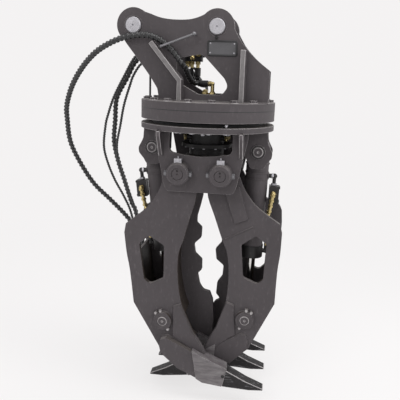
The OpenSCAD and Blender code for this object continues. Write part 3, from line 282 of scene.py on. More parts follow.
def rgba(colour, level=1.0):
    return (colour[0] * level, colour[1] * level, colour[2] * level, 1.0)


def painted(recipe, wear, dust_and_top_light, shift=None, level=1.12):
    """Dark paint with scuffs, dust and painted top light. The shift is a share and the colour it mixes
    in.
    """
    c = colours()
    broad = recipe.noise(4.0, 4.0)
    blotch = recipe.noise(48.0, 5.0)
    peel = recipe.noise(700.0, 2.0)
    runs = recipe.noise(26.0, 4.0, recipe.stretched((1.0, 1.0, 0.16)))
    scuffs = recipe.noise(75.0, 5.0, recipe.stretched((1.0, 1.0, 0.35)), 0.7)
    tone = (broad * 0.7 + blotch * 0.45 + runs * 0.35 - 0.3).held()
    colour = recipe.mix(tone, rgba(c.paint, 0.76 * level), rgba(c.paint, 1.3 * level))
    # Upward faces turn paler: dust, and a painted highlight where light falls from above
    dusty = ((recipe.upward() * 1.5 - 0.55).held() * (blotch * 1.5 - 0.1).held() * dust_and_top_light).held()
    colour = recipe.mix(dusty, colour, rgba(c.dust_and_top_light))
    rubbed = (((scuffs - 0.56) * 5.0).held() * wear).held()
    colour = recipe.mix(rubbed, colour, rgba(c.paint, 2.2 * level))
    if shift:
        colour = recipe.mix(shift[0] * (blotch + 0.4).held(), colour, shift[1])
    recipe.surface({
        "Base Color": colour,
        "Roughness": (0.42 + blotch * 0.2 + dusty * 0.25 + (1.0 - broad) * 0.06).held(),
        "Specular IOR Level": 0.22,
        "Normal": recipe.bump(peel * 0.4 + blotch * 0.6 + rubbed * -0.3, 0.0011, 0.5),
    })


def grey_paint(recipe):
    painted(recipe, 0.4, 0.8)


def proud_paint(recipe, face, share, colour):
    """Paint rubbed pale, with a painted highlight, where a plate ends in front, at the face's distance
    in millimetres.
    """
    front = ((recipe.along("Y") * -1.0 - (face - RUBBED_AND_HIGHLIT_DEPTH) * MM) * 2000.0).held()
    painted(recipe, 0.3, 0.6, (front * share, colour))


def rib_paint(recipe):
    # The ribs' front faces: paint rubbed pale and a painted highlight
    proud_paint(recipe, EAR_FACE + RIB_REACH, 0.9, rgba(colours().worn, 0.95))


def gusset_paint(recipe):
    # The gussets' front faces: paint rubbed pale and a painted highlight
    proud_paint(recipe, PLATE_FACE + GUSSET_REACH, 0.7, rgba(colours().paint, 2.0))


def jaw_paint(recipe):
    """Where the jaws grip, the faces that look at each other get a painted shade of dark brown."""
    left = ((SLEW_X * MM - recipe.along("X")) * 400.0).held()
    across = recipe.facing("X")
    inside = (left * across + (1.0 - left) * across * -1.0).held()
    # Painted shade: the faces turned towards the other jaw are mixed to a near-black brown
    painted(recipe, 0.55, 0.7, ((inside * 1.4).held() * 0.95, (0.03, 0.022, 0.017, 1)))


def weld_paint(recipe):
    painted(recipe, 0.3, 0.75)


# Bevel faces: paint 2.8 times paler is a painted edge highlight, and the bare patches are real wear
def worn_and_highlit_edge(recipe):
    c = colours()
    patch = recipe.noise(30.0, 5.0)
    fleck = recipe.noise(320.0, 3.0)
    bare = (((patch * 0.75 + fleck * 0.45) - 0.42) * 4.0).held()
    recipe.surface({
        "Base Color": recipe.mix(bare, rgba(c.paint, 2.8), rgba(c.worn, 1.8)),
        "Roughness": (0.44 - bare * 0.14).held(),
        "Metallic": (bare * 0.4).held(),
        "Normal": recipe.bump(fleck, 0.0006, 0.4),
    })


def ring_steel(recipe):
    c = colours()
    blotch = recipe.noise(36.0, 4.0)
    lines = recipe.noise(60.0, 3.0, recipe.stretched((0.2, 0.2, 14.0)))
    recipe.surface({
        "Base Color": recipe.mix(blotch, rgba(c.steel, 0.015), rgba(c.steel, 0.05)),
        "Roughness": (0.42 + lines * 0.22).held(),
        "Metallic": 0.3,
        "Normal": recipe.bump(lines, 0.0004, 0.4),
    })


def pin_steel(recipe):
    c = colours()
    radius = recipe.distance((0, 0, 0)).least(recipe.distance((-0.38, 0, 0)))
    turned = (radius * 5200.0).sine() * 0.5 + 0.5
    smear = recipe.noise(34.0, 4.0)
    stain = ((recipe.noise(150.0, 4.0) - 0.55) * 5.0).held()
    colour = recipe.mix((turned * 0.35 + smear * 0.65).held(), rgba(c.steel, 0.58), rgba(c.steel, 0.98))
    recipe.surface({
        "Base Color": recipe.mix(stain * 0.5, colour, rgba(c.steel, 0.36)),
        "Roughness": (0.42 + smear * 0.16 + turned * 0.06).held(),
        "Metallic": 0.7,
        "Normal": recipe.bump(turned * 0.6 + smear * 0.4, 0.0003, 0.5),
    })


def zinc(recipe):
    c = colours()
    grain = recipe.cells(260.0)
    smear = recipe.noise(70.0, 4.0)
    recipe.surface({
        "Base Color": recipe.mix((grain * 0.5 + smear * 0.6).held(), rgba(c.steel, 0.5),
            rgba(c.steel, 1.05)),
        "Roughness": (0.34 + smear * 0.24).held(),
        "Metallic": 0.8,
        "Normal": recipe.bump(smear, 0.0004, 0.4),
    })


def metal(recipe, scale, low, high, rough, metallic, depth=0.0004, strength=0.4):
    """Smeared metal. Rough is its least roughness and what the smears add."""
    smear = recipe.noise(scale, 4.0)
    recipe.surface({
        "Base Color": recipe.mix(smear, low, high),
        "Roughness": (rough[0] + smear * rough[1]).held(),
        "Metallic": metallic,
        "Normal": recipe.bump(smear, depth, strength),
    })


def dull_steel(recipe):
    c = colours()
    metal(recipe, 55.0, rgba(c.steel, 0.2), rgba(c.steel, 0.48), (0.4, 0.22), 0.6, 0.0005)


def chrome_rod(recipe):
    smear = recipe.noise(26.0, 3.0, recipe.stretched((1.0, 1.0, 0.1)))
    lines = recipe.noise(240.0, 2.0, recipe.stretched((1.0, 1.0, 0.05)))
    recipe.surface({
        "Base Color": recipe.mix(smear, (0.50, 0.48, 0.46, 1), (0.70, 0.69, 0.68, 1)),
        "Roughness": (0.10 + lines * 0.12).held(),
        "Metallic": 1.0,
        "Normal": recipe.bump(lines, 0.0001, 0.3),
    })


def fitting_brass(recipe):
    c = colours()
    smear = recipe.noise(60.0, 4.0)
    tarnish = ((recipe.noise(130.0, 4.0) - 0.48) * 4.0).held()
    colour = recipe.mix(smear, rgba(c.brass, 0.75), rgba(c.brass, 1.25))
    recipe.surface({
        "Base Color": recipe.mix(tarnish * 0.6, colour, rgba(c.brass, 0.32)),
        "Roughness": (0.26 + tarnish * 0.3).held(),
        "Metallic": 0.9,
        "Normal": recipe.bump(smear, 0.0004, 0.4),
    })


def bush_bronze(recipe):
    metal(recipe, 80.0, (0.16, 0.10, 0.05, 1), (0.36, 0.24, 0.12, 1), (0.32, 0.2), 0.9, 0.0004, 0.3)


def black_iron(recipe):
    blotch = recipe.noise(60.0, 5.0)
    cast = recipe.noise(520.0, 3.0)
    greasy = ((recipe.noise(14.0, 3.0) - 0.45) * 4.0).held()
    recipe.surface({
        "Base Color": recipe.mix(blotch, (0.008, 0.007, 0.008, 1), (0.026, 0.024, 0.024, 1)),
        "Roughness": (0.5 - greasy * 0.2 + blotch * 0.1).held(),
        "Specular IOR Level": 0.35,
        "Normal": recipe.bump(cast * 0.6 + blotch * 0.4, 0.0009, 0.5),
    })


def tooth_steel(recipe):
    c = colours()
    blotch = recipe.noise(40.0, 5.0)
    cast = recipe.noise(420.0, 4.0)
    gouge = recipe.noise(70.0, 3.0, recipe.stretched((0.35, 1.0, 1.6)))
    bright = (((gouge - 0.58) * 7.0).held() * 0.6).held()
    base = recipe.mix(blotch, rgba(c.paint, 0.1), rgba(c.paint, 0.34))
    recipe.surface({
        "Base Color": recipe.mix(bright, base, rgba(c.steel, 0.42)),
        "Roughness": (0.42 + blotch * 0.2 - bright * 0.1).held(),
        "Specular IOR Level": 0.3,
        "Metallic": (bright * 0.5).held(),
        "Normal": recipe.bump(cast * 0.5 + blotch * 0.5 - bright * 0.3, 0.0016, 0.6),
    })


def toe_paint(recipe):
    """Cast toes, dragged through the ground: long pale streaks over the paint."""
    c = colours()
    blotch = recipe.noise(34.0, 5.0)
    streak = recipe.noise(30.0, 6.0, recipe.stretched((0.3, 1.0, 1.5)), 0.7)
    pale = (((streak - 0.42) * 3.6).held() * 0.75).held()
    recipe.surface({
        "Base Color": recipe.mix(pale, rgba(c.paint, 1.7), rgba(c.worn, 1.25)),
        "Roughness": (0.46 + blotch * 0.2 - pale * 0.08).held(),
        "Metallic": (pale * 0.3).held(),
        "Normal": recipe.bump(blotch * 0.7 + streak * 0.5, 0.0016, 0.6),
    })


def hose_rubber(recipe):
    c = colours()
    grain = recipe.noise(700.0, 3.0)
    dusty = ((recipe.noise(22.0, 4.0) - 0.5) * 3.0).held()
    recipe.surface({
        "Base Color": recipe.mix(dusty * 0.4, rgba(c.rubber), rgba(c.rubber, 2.4)),
        "Roughness": (0.44 + grain * 0.16).held(),
        "Normal": recipe.bump(grain, 0.0006, 0.5),
    })


def guard_plastic(recipe):
    c = colours()
    scuff = recipe.noise(160.0, 4.0)
    rubbed = (((scuff - 0.58) * 6.0).held() * 0.6).held()
    recipe.surface({
        "Base Color": recipe.mix(rubbed, rgba(c.rubber, 0.8), rgba(c.rubber, 4.0)),
        "Roughness": (0.2 + scuff * 0.2).held(),
        "IOR": 1.55,
        "Normal": recipe.bump(scuff, 0.0004, 0.4),
    })


def plate_metal(recipe):
    c = colours()
    brushed = recipe.noise(90.0, 4.0, recipe.stretched((0.6, 1.0, 22.0)))
    haze = recipe.noise(30.0, 3.0)
    recipe.surface({
        "Base Color": recipe.mix((brushed * 0.6 + haze * 0.4).held(), rgba(c.steel, 0.1),
            rgba(c.steel, 0.24)),
        "Roughness": (0.46 + brushed * 0.2).held(),
        "Metallic": 0.35,
        "Normal": recipe.bump(brushed, 0.0002, 0.4),
    })


RECIPES = {recipe.__name__: recipe for recipe in (grey_paint, rib_paint, gusset_paint, jaw_paint,
    weld_paint, worn_and_highlit_edge, ring_steel, pin_steel, zinc, dull_steel, chrome_rod, fitting_brass,
    bush_bronze, black_iron, tooth_steel, toe_paint, hose_rubber, guard_plastic, plate_metal)}


def finish(name):
    """The finish's material, apart from the solids' own materials, which bear the same names."""
    material = bpy.data.materials.get("look_" + name)
    if material is None:
        material = bpy.data.materials.new("look_" + name)
        material.use_nodes = True
        RECIPES[name](Recipe(material))
    return material


# Shapes: pairs of points and faces


def lathe(profile, steps=32, closed=False, turn=0.0):
    """Shape turned about Z from radius and height."""
    points, faces = [], []
    for r, z in profile:
        points += [(r * cos(turn + 2 * pi * k / steps), r * sin(turn + 2 * pi * k / steps), z)
            for k in range(steps)]
    rows = len(profile)
    for i in range(rows if closed else rows - 1):
        j = (i + 1) % rows
        for k in range(steps):
            n = (k + 1) % steps
            faces.append((i * steps + k, i * steps + n, j * steps + n, j * steps + k))
    return points, faces


def hexagon(radius, height, edge=1.0, turn=0.0):
    return lathe([(0, 0), (radius, 0), (radius, height - edge), (radius - edge, height), (0, height)],
        6, turn=turn)


def washer(inside, outside, height):
    return lathe([(inside, 0), (outside, 0), (outside, height * 0.7), (outside - height * 0.3, height),
        (inside, height)], 32, closed=True)


def nipple(size=1.0):
    outline = [(0, 0), (5, 0), (5, 4), (3.2, 5), (2.6, 9), (3.5, 10.5), (2.6, 12.4), (0, 13)]
    return lathe([(r * size, z * size) for r, z in outline], 12)


def socket_screw(radius, height):
    return lathe([(0, 0), (radius, 0), (radius, height * 0.85), (radius * 0.86, height),
        (radius * 0.5, height), (radius * 0.45, height * 0.4), (0, height * 0.4)], 20)


def spread(path, step, closed=False):
    """Points at even distances along a line."""
    path = [Vector(p) for p in path]
    if closed:
        path.append(path[0])
    marks = [0.0]
    for a, b in zip(path, path[1:]):
        marks.append(marks[-1] + (b - a).length)
    count = max(2, round(marks[-1] / step))
    out, i = [], 0
    for k in range(count if closed else count + 1):
        t = marks[-1] * k / count
        while i < len(marks) - 2 and marks[i + 1] < t:
            i += 1
        share = (t - marks[i]) / max(marks[i + 1] - marks[i], 1e-9)
        out.append(path[i].lerp(path[i + 1], share))
    return out


def carried(points, closed=False):
    """Direction and steady normal at each point of a line."""
    n = len(points)
    out = []
    normal = None
    for i in range(n):
        if closed:
            ahead = points[(i + 1) % n] - points[i - 1]
        else:
            ahead = points[min(i + 1, n - 1)] - points[max(i - 1, 0)]
        t = ahead.normalized()
        if normal is None:
            normal = t.cross(Vector((0.3, 1.0, 0.2))).normalized()
        normal = (normal - t * normal.dot(t)).normalized()
        out.append((t, normal))
    return out


def tube(points, radius, sides=12, closed=False):
    """Round tube along points, with one radius or one for each point."""
    ways = carried(points, closed)
    verts, faces = [], []
    for i, (p, (t, normal)) in enumerate(zip(points, ways)):
        r = radius[i] if isinstance(radius, list) else radius
        side = t.cross(normal)
        verts += [tuple(p + (normal * cos(2 * pi * k / sides) + side * sin(2 * pi * k / sides)) * r)
            for k in range(sides)]
    rows = len(points)
    for i in range(rows if closed else rows - 1):
        j = (i + 1) % rows
        for k in range(sides):
            n = (k + 1) % sides
            faces.append((i * sides + k, i * sides + n, j * sides + n, j * sides + k))
    if not closed:
        faces.append(tuple(range(sides)))
        faces.append(tuple((rows - 1) * sides + k for k in range(sides)))
    return verts, faces


def bead(path, closed=False, share=1.0):
    """Rippled weld bead along a line."""
    size = sizes().bead / MM * share
    points = spread(path, size * 0.62, closed)
    radius = [size * (0.86 + 0.14 * sin(2 * pi * i / 3.0) + 0.05 * sin(i * 1.7))
        for i in range(len(points))]
    if not closed:
        radius[0] = radius[-1] = size * 0.5
    return tube(points, radius, 6, closed)


def round_path(radius, centre, steps=48):
    return [(centre[0] + radius * cos(2 * pi * k / steps), centre[1],
        centre[2] + radius * sin(2 * pi * k / steps)) for k in range(steps)]


def moved(shape, matrix):
    return [tuple(matrix @ Vector(p)) for p in shape[0]], shape[1]


def aim(origin, direction, turn=0.0):
    """Places a shape's Z along a direction."""
    way = Vector(direction).normalized().to_track_quat("Z", "Y").to_matrix().to_4x4()
    return Matrix.Translation(Vector(origin)) @ way @ Matrix.Rotation(radians(turn), 4, "Z")


def at(shape, origin, direction):
    """Sets a shape on a place, its Z along a direction."""
    return moved(shape, aim(origin, direction))


def circle(radius, count, height, turn=0.0):
    """Places round the Z axis."""
    return [Vector((radius * cos(turn + 2 * pi * k / count), radius * sin(turn + 2 * pi * k / count),
        height)) for k in range(count)]


def in_jaw(side):
    q = radians(LEAN[side])
    return Matrix(((side * cos(q), 0, -side * sin(q), SLEW_X + side * HINGE_X), (0, 1, 0, 0),
        (sin(q), 0, cos(q), HINGE_Z), (0, 0, 0, 1)))


def in_cylinder(side):
    a = radians(CYLINDER_LEAN[side])
    return Matrix(((side * cos(a), 0, side * sin(a), SLEW_X + side * PIN_X), (0, 1, 0, 0),
        (sin(a), 0, -cos(a), PIN_Z), (0, 0, 0, 1)))


AT_SLEW = Matrix.Translation((SLEW_X, 0, 0))
STRAIGHT = Matrix.Identity(4)


def piece(name, shapes, look, body, place=STRAIGHT, sharp=35.0):
    """Makes one object of shapes and lets it ride on a body."""
    bm = bmesh.new()
    for points, faces in shapes:
        made = [bm.verts.new((place @ Vector(p)) * MM) for p in points]
        for face in faces:
            bm.faces.new([made[i] for i in face])
    bmesh.ops.remove_doubles(bm, verts=bm.verts[:], dist=1e-6)
    bmesh.ops.recalc_face_normals(bm, faces=bm.faces[:])
    mesh = bpy.data.meshes.new(name)
    bm.to_mesh(mesh)
    bm.free()
    for face in mesh.polygons:
        face.use_smooth = True
    mesh.set_sharp_from_angle(angle=radians(sharp))
    mesh.materials.append(finish(look))
    made = bpy.data.objects.new(name, mesh)
    bpy.context.scene.collection.objects.link(made)
    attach(made, body)
    return made


# Hoses


def smooth_line(points, steps=8):
    points = [Vector(p) for p in points]
    out = []
    for i in range(len(points) - 1):
        a, b = points[max(i - 1, 0)], points[i]
        c, d = points[i + 1], points[min(i + 2, len(points) - 1)]
        for j in range(steps):
            t = j / steps
            out.append(0.5 * (2 * b + (c - a) * t + (2 * a - 5 * b + 4 * c - d) * t * t
                + (3 * b - a - 3 * c + d) * t * t * t))
    return out + [points[-1]]


def hose_line(route, diameter):
    """The route's curve with a straight end one diameter long at each side."""
    first, second = Vector(route[0]), Vector(route[1])
    last, before = Vector(route[-1]), Vector(route[-2])
    return ([first + (first - second).normalized() * diameter] + smooth_line(route)
        + [last + (last - before).normalized() * diameter])


def line_length(points):
    return sum((b - a).length for a, b in zip(points, points[1:]))


def guard(line, diameter, pitch, reach):
    """Spiral strip wound round a hose, open at its ends."""
    width = pitch * sizes().guard_share
    outside, depth = diameter / 2, diameter * 0.15
    fine = spread(line, 2.5)
    ways = carried(fine)
    whole = line_length(fine)
    section = [(-0.5, outside - depth), (-0.42, outside - depth * 0.5), (-0.22, outside - depth * 0.12),
        (0.0, outside), (0.22, outside - depth * 0.12), (0.42, outside - depth * 0.5),
        (0.5, outside - depth)]
    sides = 14 if diameter > 20 else 10
    start, stop = reach, whole - reach
    count = int((stop - start) / pitch * sides)
    points, faces = [], []
    for k in range(count + 1):
        angle = 2 * pi * k / sides
        middle = start + pitch * k / sides
        for share, r in section:
            where = min(max((middle + share * width) / whole, 0.0), 1.0) * (len(fine) - 1)
            i = min(int(where), len(fine) - 2)
            t, normal = ways[i]
            centre = fine[i].lerp(fine[i + 1], where - i)
            points.append(tuple(centre + (normal * cos(angle) + t.cross(normal) * sin(angle)) * r))
    rows = len(section)
    for k in range(count):
        for j in range(rows - 1):
            faces.append((k * rows + j, k * rows + j + 1, (k + 1) * rows + j + 1, (k + 1) * rows + j))
    faces.append(tuple(range(rows)))
    faces.append(tuple(count * rows + j for j in range(rows)))
    return points, faces


def ferrule(radius, length):
    """Crimped sleeve with its grooves."""
    profile = [(radius * 0.7, 0), (radius, 0.6)]
    for k in range(5):
        z = length * (0.14 + 0.17 * k)
        profile += [(radius, z - 1.6), (radius - 0.9, z), (radius, z + 1.6)]
    profile += [(radius, length - 1.5), (radius - 1.2, length), (radius * 0.8, length)]
    return lathe(profile, 24)


def coupling(diameter):
    """Quick coupling, along Z: nut, knurled sleeve and bored end."""
    w = diameter / 2 + 2
    body = [(0, 18), (w - 1.2, 18), (w - 0.6, 20)]
    for k in range(6):
        body += [(w, 22 + 5 * k), (w, 24.5 + 5 * k), (w - 0.8, 25.2 + 5 * k), (w - 0.8, 26.3 + 5 * k)]
    body += [(w, 54), (w - 1.5, 58), (w * 0.6, 58), (w * 0.6, 66), (w * 0.52, 67), (w * 0.52, 70),
        (w * 0.6, 71), (w * 0.6, 77), (w * 0.5, 78), (w * 0.34, 78), (w * 0.34, 66), (0, 66)]
    return [hexagon(w * 1.2, 18, 1.5), lathe(body, 32)]


def make_hose(name, route, diameter, pitch=0.0, body="head"):
    """Hose along its route, with a spiral guard where it has a pitch."""
    line = hose_line(route, diameter)
    step = 9.0
    even = spread(line, step)
    radius = [diameter / 2] * len(even)
    shapes = []
    if pitch:
        reach = diameter * 1.5
        for i in range(len(even)):
            if min(i, len(even) - 1 - i) * step > reach:
                radius[i] = diameter * 0.37
        shapes.append(guard(line, diameter, pitch, reach))
    shapes.append(tube(even, radius, 16))
    hose = piece(name, shapes, "guard_plastic" if pitch else "hose_rubber", body)
    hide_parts(name.replace("_cover", ""))
    return hose, line


class GRAPPLE_OT_camera(bpy.types.Operator):
    """Adds the camera at the viewing angle of the photograph"""

    bl_idname = "grapple.camera"
    bl_label = "Camera"

    def execute(self, context):
        yaw, pitch, roll = (radians(turn) for turn in PHOTO_TURN)
        ahead = Vector((-sin(yaw) * cos(pitch), cos(yaw) * cos(pitch), -sin(pitch)))
        level = Vector((cos(yaw), sin(yaw), 0.0))
        upright = level.cross(ahead)
        right = level * cos(roll) + upright * sin(roll)
        up = upright * cos(roll) - level * sin(roll)
        data = bpy.data.cameras.new("photo_camera")
        data.sensor_width = 36.0
        data.lens = PHOTO_LENS
        data.clip_end = 100.0
        camera = bpy.data.objects.new("photo_camera", data)
        turn = Matrix((right, up, -ahead)).transposed().to_4x4()
        camera.matrix_world = Matrix.Translation(PHOTO_PLACE) @ turn
        context.scene.collection.objects.link(camera)
        context.scene.camera = camera
        return {"FINISHED"}


class GRAPPLE_OT_hoses(bpy.types.Operator):
    """Adds the two guarded hoses and the two thin hoses with their ferrules and couplings"""

    bl_idname = "grapple.hoses"
    bl_label = "Hoses"

    def execute(self, context):
        s = sizes()
        wide, thin = s.guarded / MM, s.thin / MM
        wide_pitch, thin_pitch = s.guard_pitch / MM, s.thin_pitch / MM
        for name, route, d, pitch in (
                ("guarded_hose_a", ROUTE_A, wide, wide_pitch),
                ("guarded_hose_b", ROUTE_B, wide, wide_pitch),
                ("thin_hose_a", ROUTE_C, thin, thin_pitch),
                ("thin_hose_b", ROUTE_D, thin, thin_pitch)):
            hose, line = make_hose(name + "_cover", route, d, pitch)
            start, toward = line[0], line[1] - line[0]
            end, back = line[-1], line[-2] - line[-1]
            guarded = d > 20
            reach = 38.0 if guarded else 24.0
            sleeves = piece(name + "_ferrules", [
                at(ferrule(d / 2 + 1.0, reach), start, toward),
                at(ferrule(d / 2 + 1.0, reach), end, back)], "black_iron", "head")
            tail = piece(name + "_coupling",
                [at(shape, end, end - line[-2]) for shape in coupling(d)],
                "zinc", "head")
            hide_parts("hose_couplings")
            tuple(start * MM)
            line_length(line) * MM
            [tuple(p * MM) for p in line]
        return {"FINISHED"}


class GRAPPLE_OT_jumpers(bpy.types.Operator):
    """Adds the short hose from each valve to its gland"""

    bl_idname = "grapple.jumpers"
    bl_label = "Jumper hoses"

    def execute(self, context):
        d = sizes().jumper / MM
        for side, name in SIDE_NAME.items():
            place = in_cylinder(side)
            route = [tuple(place @ Vector(p)) for p in JUMPER]
            hose, line = make_hose(name + "_jumper_hose_cover", route, d, body=name + "_barrel")
            sleeves = piece(name + "_jumper_ferrules", [
                at(ferrule(d / 2 + 1.2, 24), line[0], line[1] - line[0]),
                at(ferrule(d / 2 + 1.2, 24), line[-1], line[-2] - line[-1])],
                "fitting_brass", name + "_barrel")
            tuple(line[0] * MM)
            line_length(line) * MM
            [tuple(p * MM) for p in line]
        return {"FINISHED"}


# Solids: the look of each, where it isn't the record's own slot, and the plates with rounded edges
LOOKS = {"left_jaw": "jaw_paint", "right_jaw": "jaw_paint", "left_adapters": "toe_paint",
    "right_adapters": "toe_paint", "ear_ribs": "rib_paint", "frame_gussets": "gusset_paint",
    "hose_guide": "dull_steel", "collar_bolts": "dull_steel", "ear_bushes": "weld_paint"}
PAINTED = ("grey_paint", "rib_paint", "gusset_paint", "jaw_paint", "tooth_steel", "toe_paint")
ROUNDED = ("pin_collars", "hinge_pins", "cylinder_pins", "left_rod_pin", "right_rod_pin",
    "front_ear", "rear_ear", "ear_ribs", "head_webs", "head_flange", "outer_ring",
    "lower_flange", "front_hinge_plate", "rear_hinge_plate", "frame_gussets", "cylinder_brackets",
    "left_jaw", "right_jaw", "left_adapters", "right_adapters", "left_teeth", "right_teeth",
    "relief_block", "slew_motor", "left_valve", "right_valve", "flange_bolts", "turntable_bolts",
    "grease_blocks", "collar_bolts", "left_pin_keepers", "right_pin_keepers")
SMALL = ("flange_bolts", "turntable_bolts", "grease_blocks", "collar_bolts", "left_pin_keepers",
    "right_pin_keepers", "relief_block", "slew_motor", "left_valve", "right_valve")


class GRAPPLE_OT_solids(bpy.types.Operator):
    """Gives each solid its finish and rounds the edges of the plates"""

    bl_idname = "grapple.solids"
    bl_label = "Solids"

    def execute(self, context):
        missing = [name for name in ROUNDED if name not in frame["nodes"]]
        if missing:
            raise RuntimeError(f"no solid named {missing}")
        for name, solid in frame["nodes"].items():
            look = LOOKS.get(name, SLOTS[name])
            solid.data.materials.clear()
            solid.data.materials.append(finish(look))
            if name not in ROUNDED:
                continue
            painted_solid = look in PAINTED
            if painted_solid:
                # The bevel faces take the edge finish: a painted edge highlight with worn patches
                solid.data.materials.append(finish("worn_and_highlit_edge"))
            weld = solid.modifiers.new("weld", "WELD")
            weld.merge_threshold = 2e-5
            flat = solid.modifiers.new("flat", "DECIMATE")
            flat.decimate_type = "DISSOLVE"
            flat.angle_limit = radians(0.4)
            edge = solid.modifiers.new("edge", "BEVEL")
            edge.width = sizes().edge_round * (0.35 if name in SMALL else 1.0)
            edge.segments = 2
            edge.limit_method = "ANGLE"
            edge.angle_limit = radians(32)
            edge.use_clamp_overlap = True
            edge.material = 1 if painted_solid else -1
            shade = solid.modifiers.new("shade", "WEIGHTED_NORMAL")
            shade.keep_sharp = False
            shade.weight = 100
        return {"FINISHED"}


# Weld lines, in millimetres
EAR_FOOT = (-262, 241)
LEFT_RIB = ((-292.6, -73.6), (-159.6, -235.4), (-159.6, FLANGE_TOP))
RIGHT_RIB = ((121.6, -98.1), (121.6, FLANGE_TOP))
RIB_HALF = 11.0
WEBS = ((-243.2, -216.0), (199.5, -177.0))
WEB_HALF = 8.0
HINGE_PLATE_DEPTH = 22
HINGE_PLATE_FEET = ((212, PLATE_FACE), (205, PLATE_FACE - HINGE_PLATE_DEPTH))
GUSSET_HALF = 9
GUSSET_OUTER, GUSSET_INNER = 100, 118
BRACKET_ENDS = (191, 294)
BRACKET_FACES = (59.0, 85.0)
HUB_R = 52
BOSS_R = 44
TOE_PLATE = ((14, -655.6), (-8.4, -712.8), (-39.2, -793.8), (-86.8, -874.8), (-103.6, -920.2),
    (-44.8, -896.4), (16.8, -847.8), (53.2, -826.2), (47.6, -669.6))
DOUBLER = ((5.6, -81), (56, -250.6), (117.6, -225.7), (75.6, -75.6))
SHANK_TOP = ((112, -831.6), (84, -823), (-92.4, -916.9))
CROSS_SEAM = ((6, -331), (60, -306), (144, -266))
BARREL_CAP_R, BARREL_CAP_Z = 55, 62
PORT_R, PORT_X, PORT_Z = 15, 56, 121.5


def beside(path, gap):
    """Line of X and Z set off to its right."""
    out = []
    for i, p in enumerate(path):
        a, b = Vector(path[max(i - 1, 0)]), Vector(path[min(i + 1, len(path) - 1)])
        t = (b - a).normalized()
        out.append((p[0] + t.y * gap, p[1] - t.x * gap))
    return out


class GRAPPLE_OT_welds(bpy.types.Operator):
    """Adds the weld beads on the head, the turntable, the cylinders and the jaws"""

    bl_idname = "grapple.welds"
    bl_label = "Welds"

    def execute(self, context):
        head = []
        for face in (-EAR_FACE, -EAR_BACK, EAR_BACK, EAR_FACE):
            head.append(bead([(x, face, FLANGE_TOP) for x in EAR_FOOT]))
        for side in (-1, 1):
            for rib in (LEFT_RIB, RIGHT_RIB):
                for gap in (-RIB_HALF, RIB_HALF):
                    head.append(bead([(x, side * EAR_FACE, z) for x, z in beside(rib, gap)]))
                    foot = rib[-1][0] + gap
                    head.append(bead([(foot, side * EAR_FACE, FLANGE_TOP),
                        (foot, side * (EAR_FACE + RIB_REACH), FLANGE_TOP)]))
        for x, top in WEBS:
            for gap in (-WEB_HALF, WEB_HALF):
                head.append(bead([(x + gap, -EAR_BACK, top), (x + gap, -EAR_BACK, FLANGE_TOP),
                    (x + gap, EAR_BACK, FLANGE_TOP), (x + gap, EAR_BACK, top)]))
        piece("head_welds", head, "weld_paint", "head", sharp=60)

        frame_welds = []
        for side in (-1, 1):
            for half, face in HINGE_PLATE_FEET:
                frame_welds.append(bead([(x, side * face, LOWER_BOTTOM) for x in (-half, half)]))
            for x in (-GUSSET_X - GUSSET_HALF, -GUSSET_X + GUSSET_HALF, GUSSET_X - GUSSET_HALF,
                    GUSSET_X + GUSSET_HALF):
                low = GUSSET_OUTER if abs(x) > GUSSET_X else GUSSET_INNER
                frame_welds.append(bead([(x, side * PLATE_FACE, LOWER_BOTTOM - low),
                    (x, side * PLATE_FACE, LOWER_BOTTOM),
                    (x, side * (PLATE_FACE + GUSSET_REACH), LOWER_BOTTOM)]))
            for x in (-HINGE_X, HINGE_X):
                frame_welds.append(bead(round_path(HUB_R, (x, side * PLATE_FACE, HINGE_Z)), True, 0.8))
            for x in (-1, 1):
                for y in BRACKET_FACES:
                    frame_welds.append(bead([(x * end, side * y, LOWER_BOTTOM)
                        for end in BRACKET_ENDS], share=0.8))
        piece("frame_welds", frame_welds, "weld_paint", "turntable", AT_SLEW, sharp=60)

        for side, name in SIDE_NAME.items():
            half = HALF_WIDTH[side]
            jaw = []
            for face in (-1, 1):
                jaw.append(bead(round_path(BOSS_R, (ROD_PIN[0], face * half, ROD_PIN[1])), True,
                    0.9))
                jaw.append(bead([(x, face * (half + 1), z) for x, z in TOE_PLATE], True, 0.9))
                jaw.append(bead([(x, face * (half + 0.5), z) for x, z in SHANK_TOP], share=1.15))
            if side > 0:
                jaw.append(bead([(x, -half, z) for x, z in DOUBLER], True))
                jaw.append(bead([(x, -half, z) for x, z in CROSS_SEAM], share=0.8))
            piece(name + "_jaw_welds", jaw, "weld_paint", name + "_jaw",
                in_jaw(side), sharp=60)
            rings = [moved(bead(round_path(BARREL_CAP_R, (0, 0, 0)), True, 0.8),
                Matrix.Translation((0, 0, BARREL_CAP_Z)) @ Matrix.Rotation(pi / 2, 4, "X")),
                moved(bead(round_path(PORT_R, (0, 0, 0)), True, 0.6),
                    Matrix.Translation((PORT_X, 0, PORT_Z)) @ Matrix.Rotation(pi / 2, 4, "Z"))]
            piece(name + "_barrel_welds", rings, "weld_paint", name + "_barrel",
                in_cylinder(side), sharp=60)
        return {"FINISHED"}


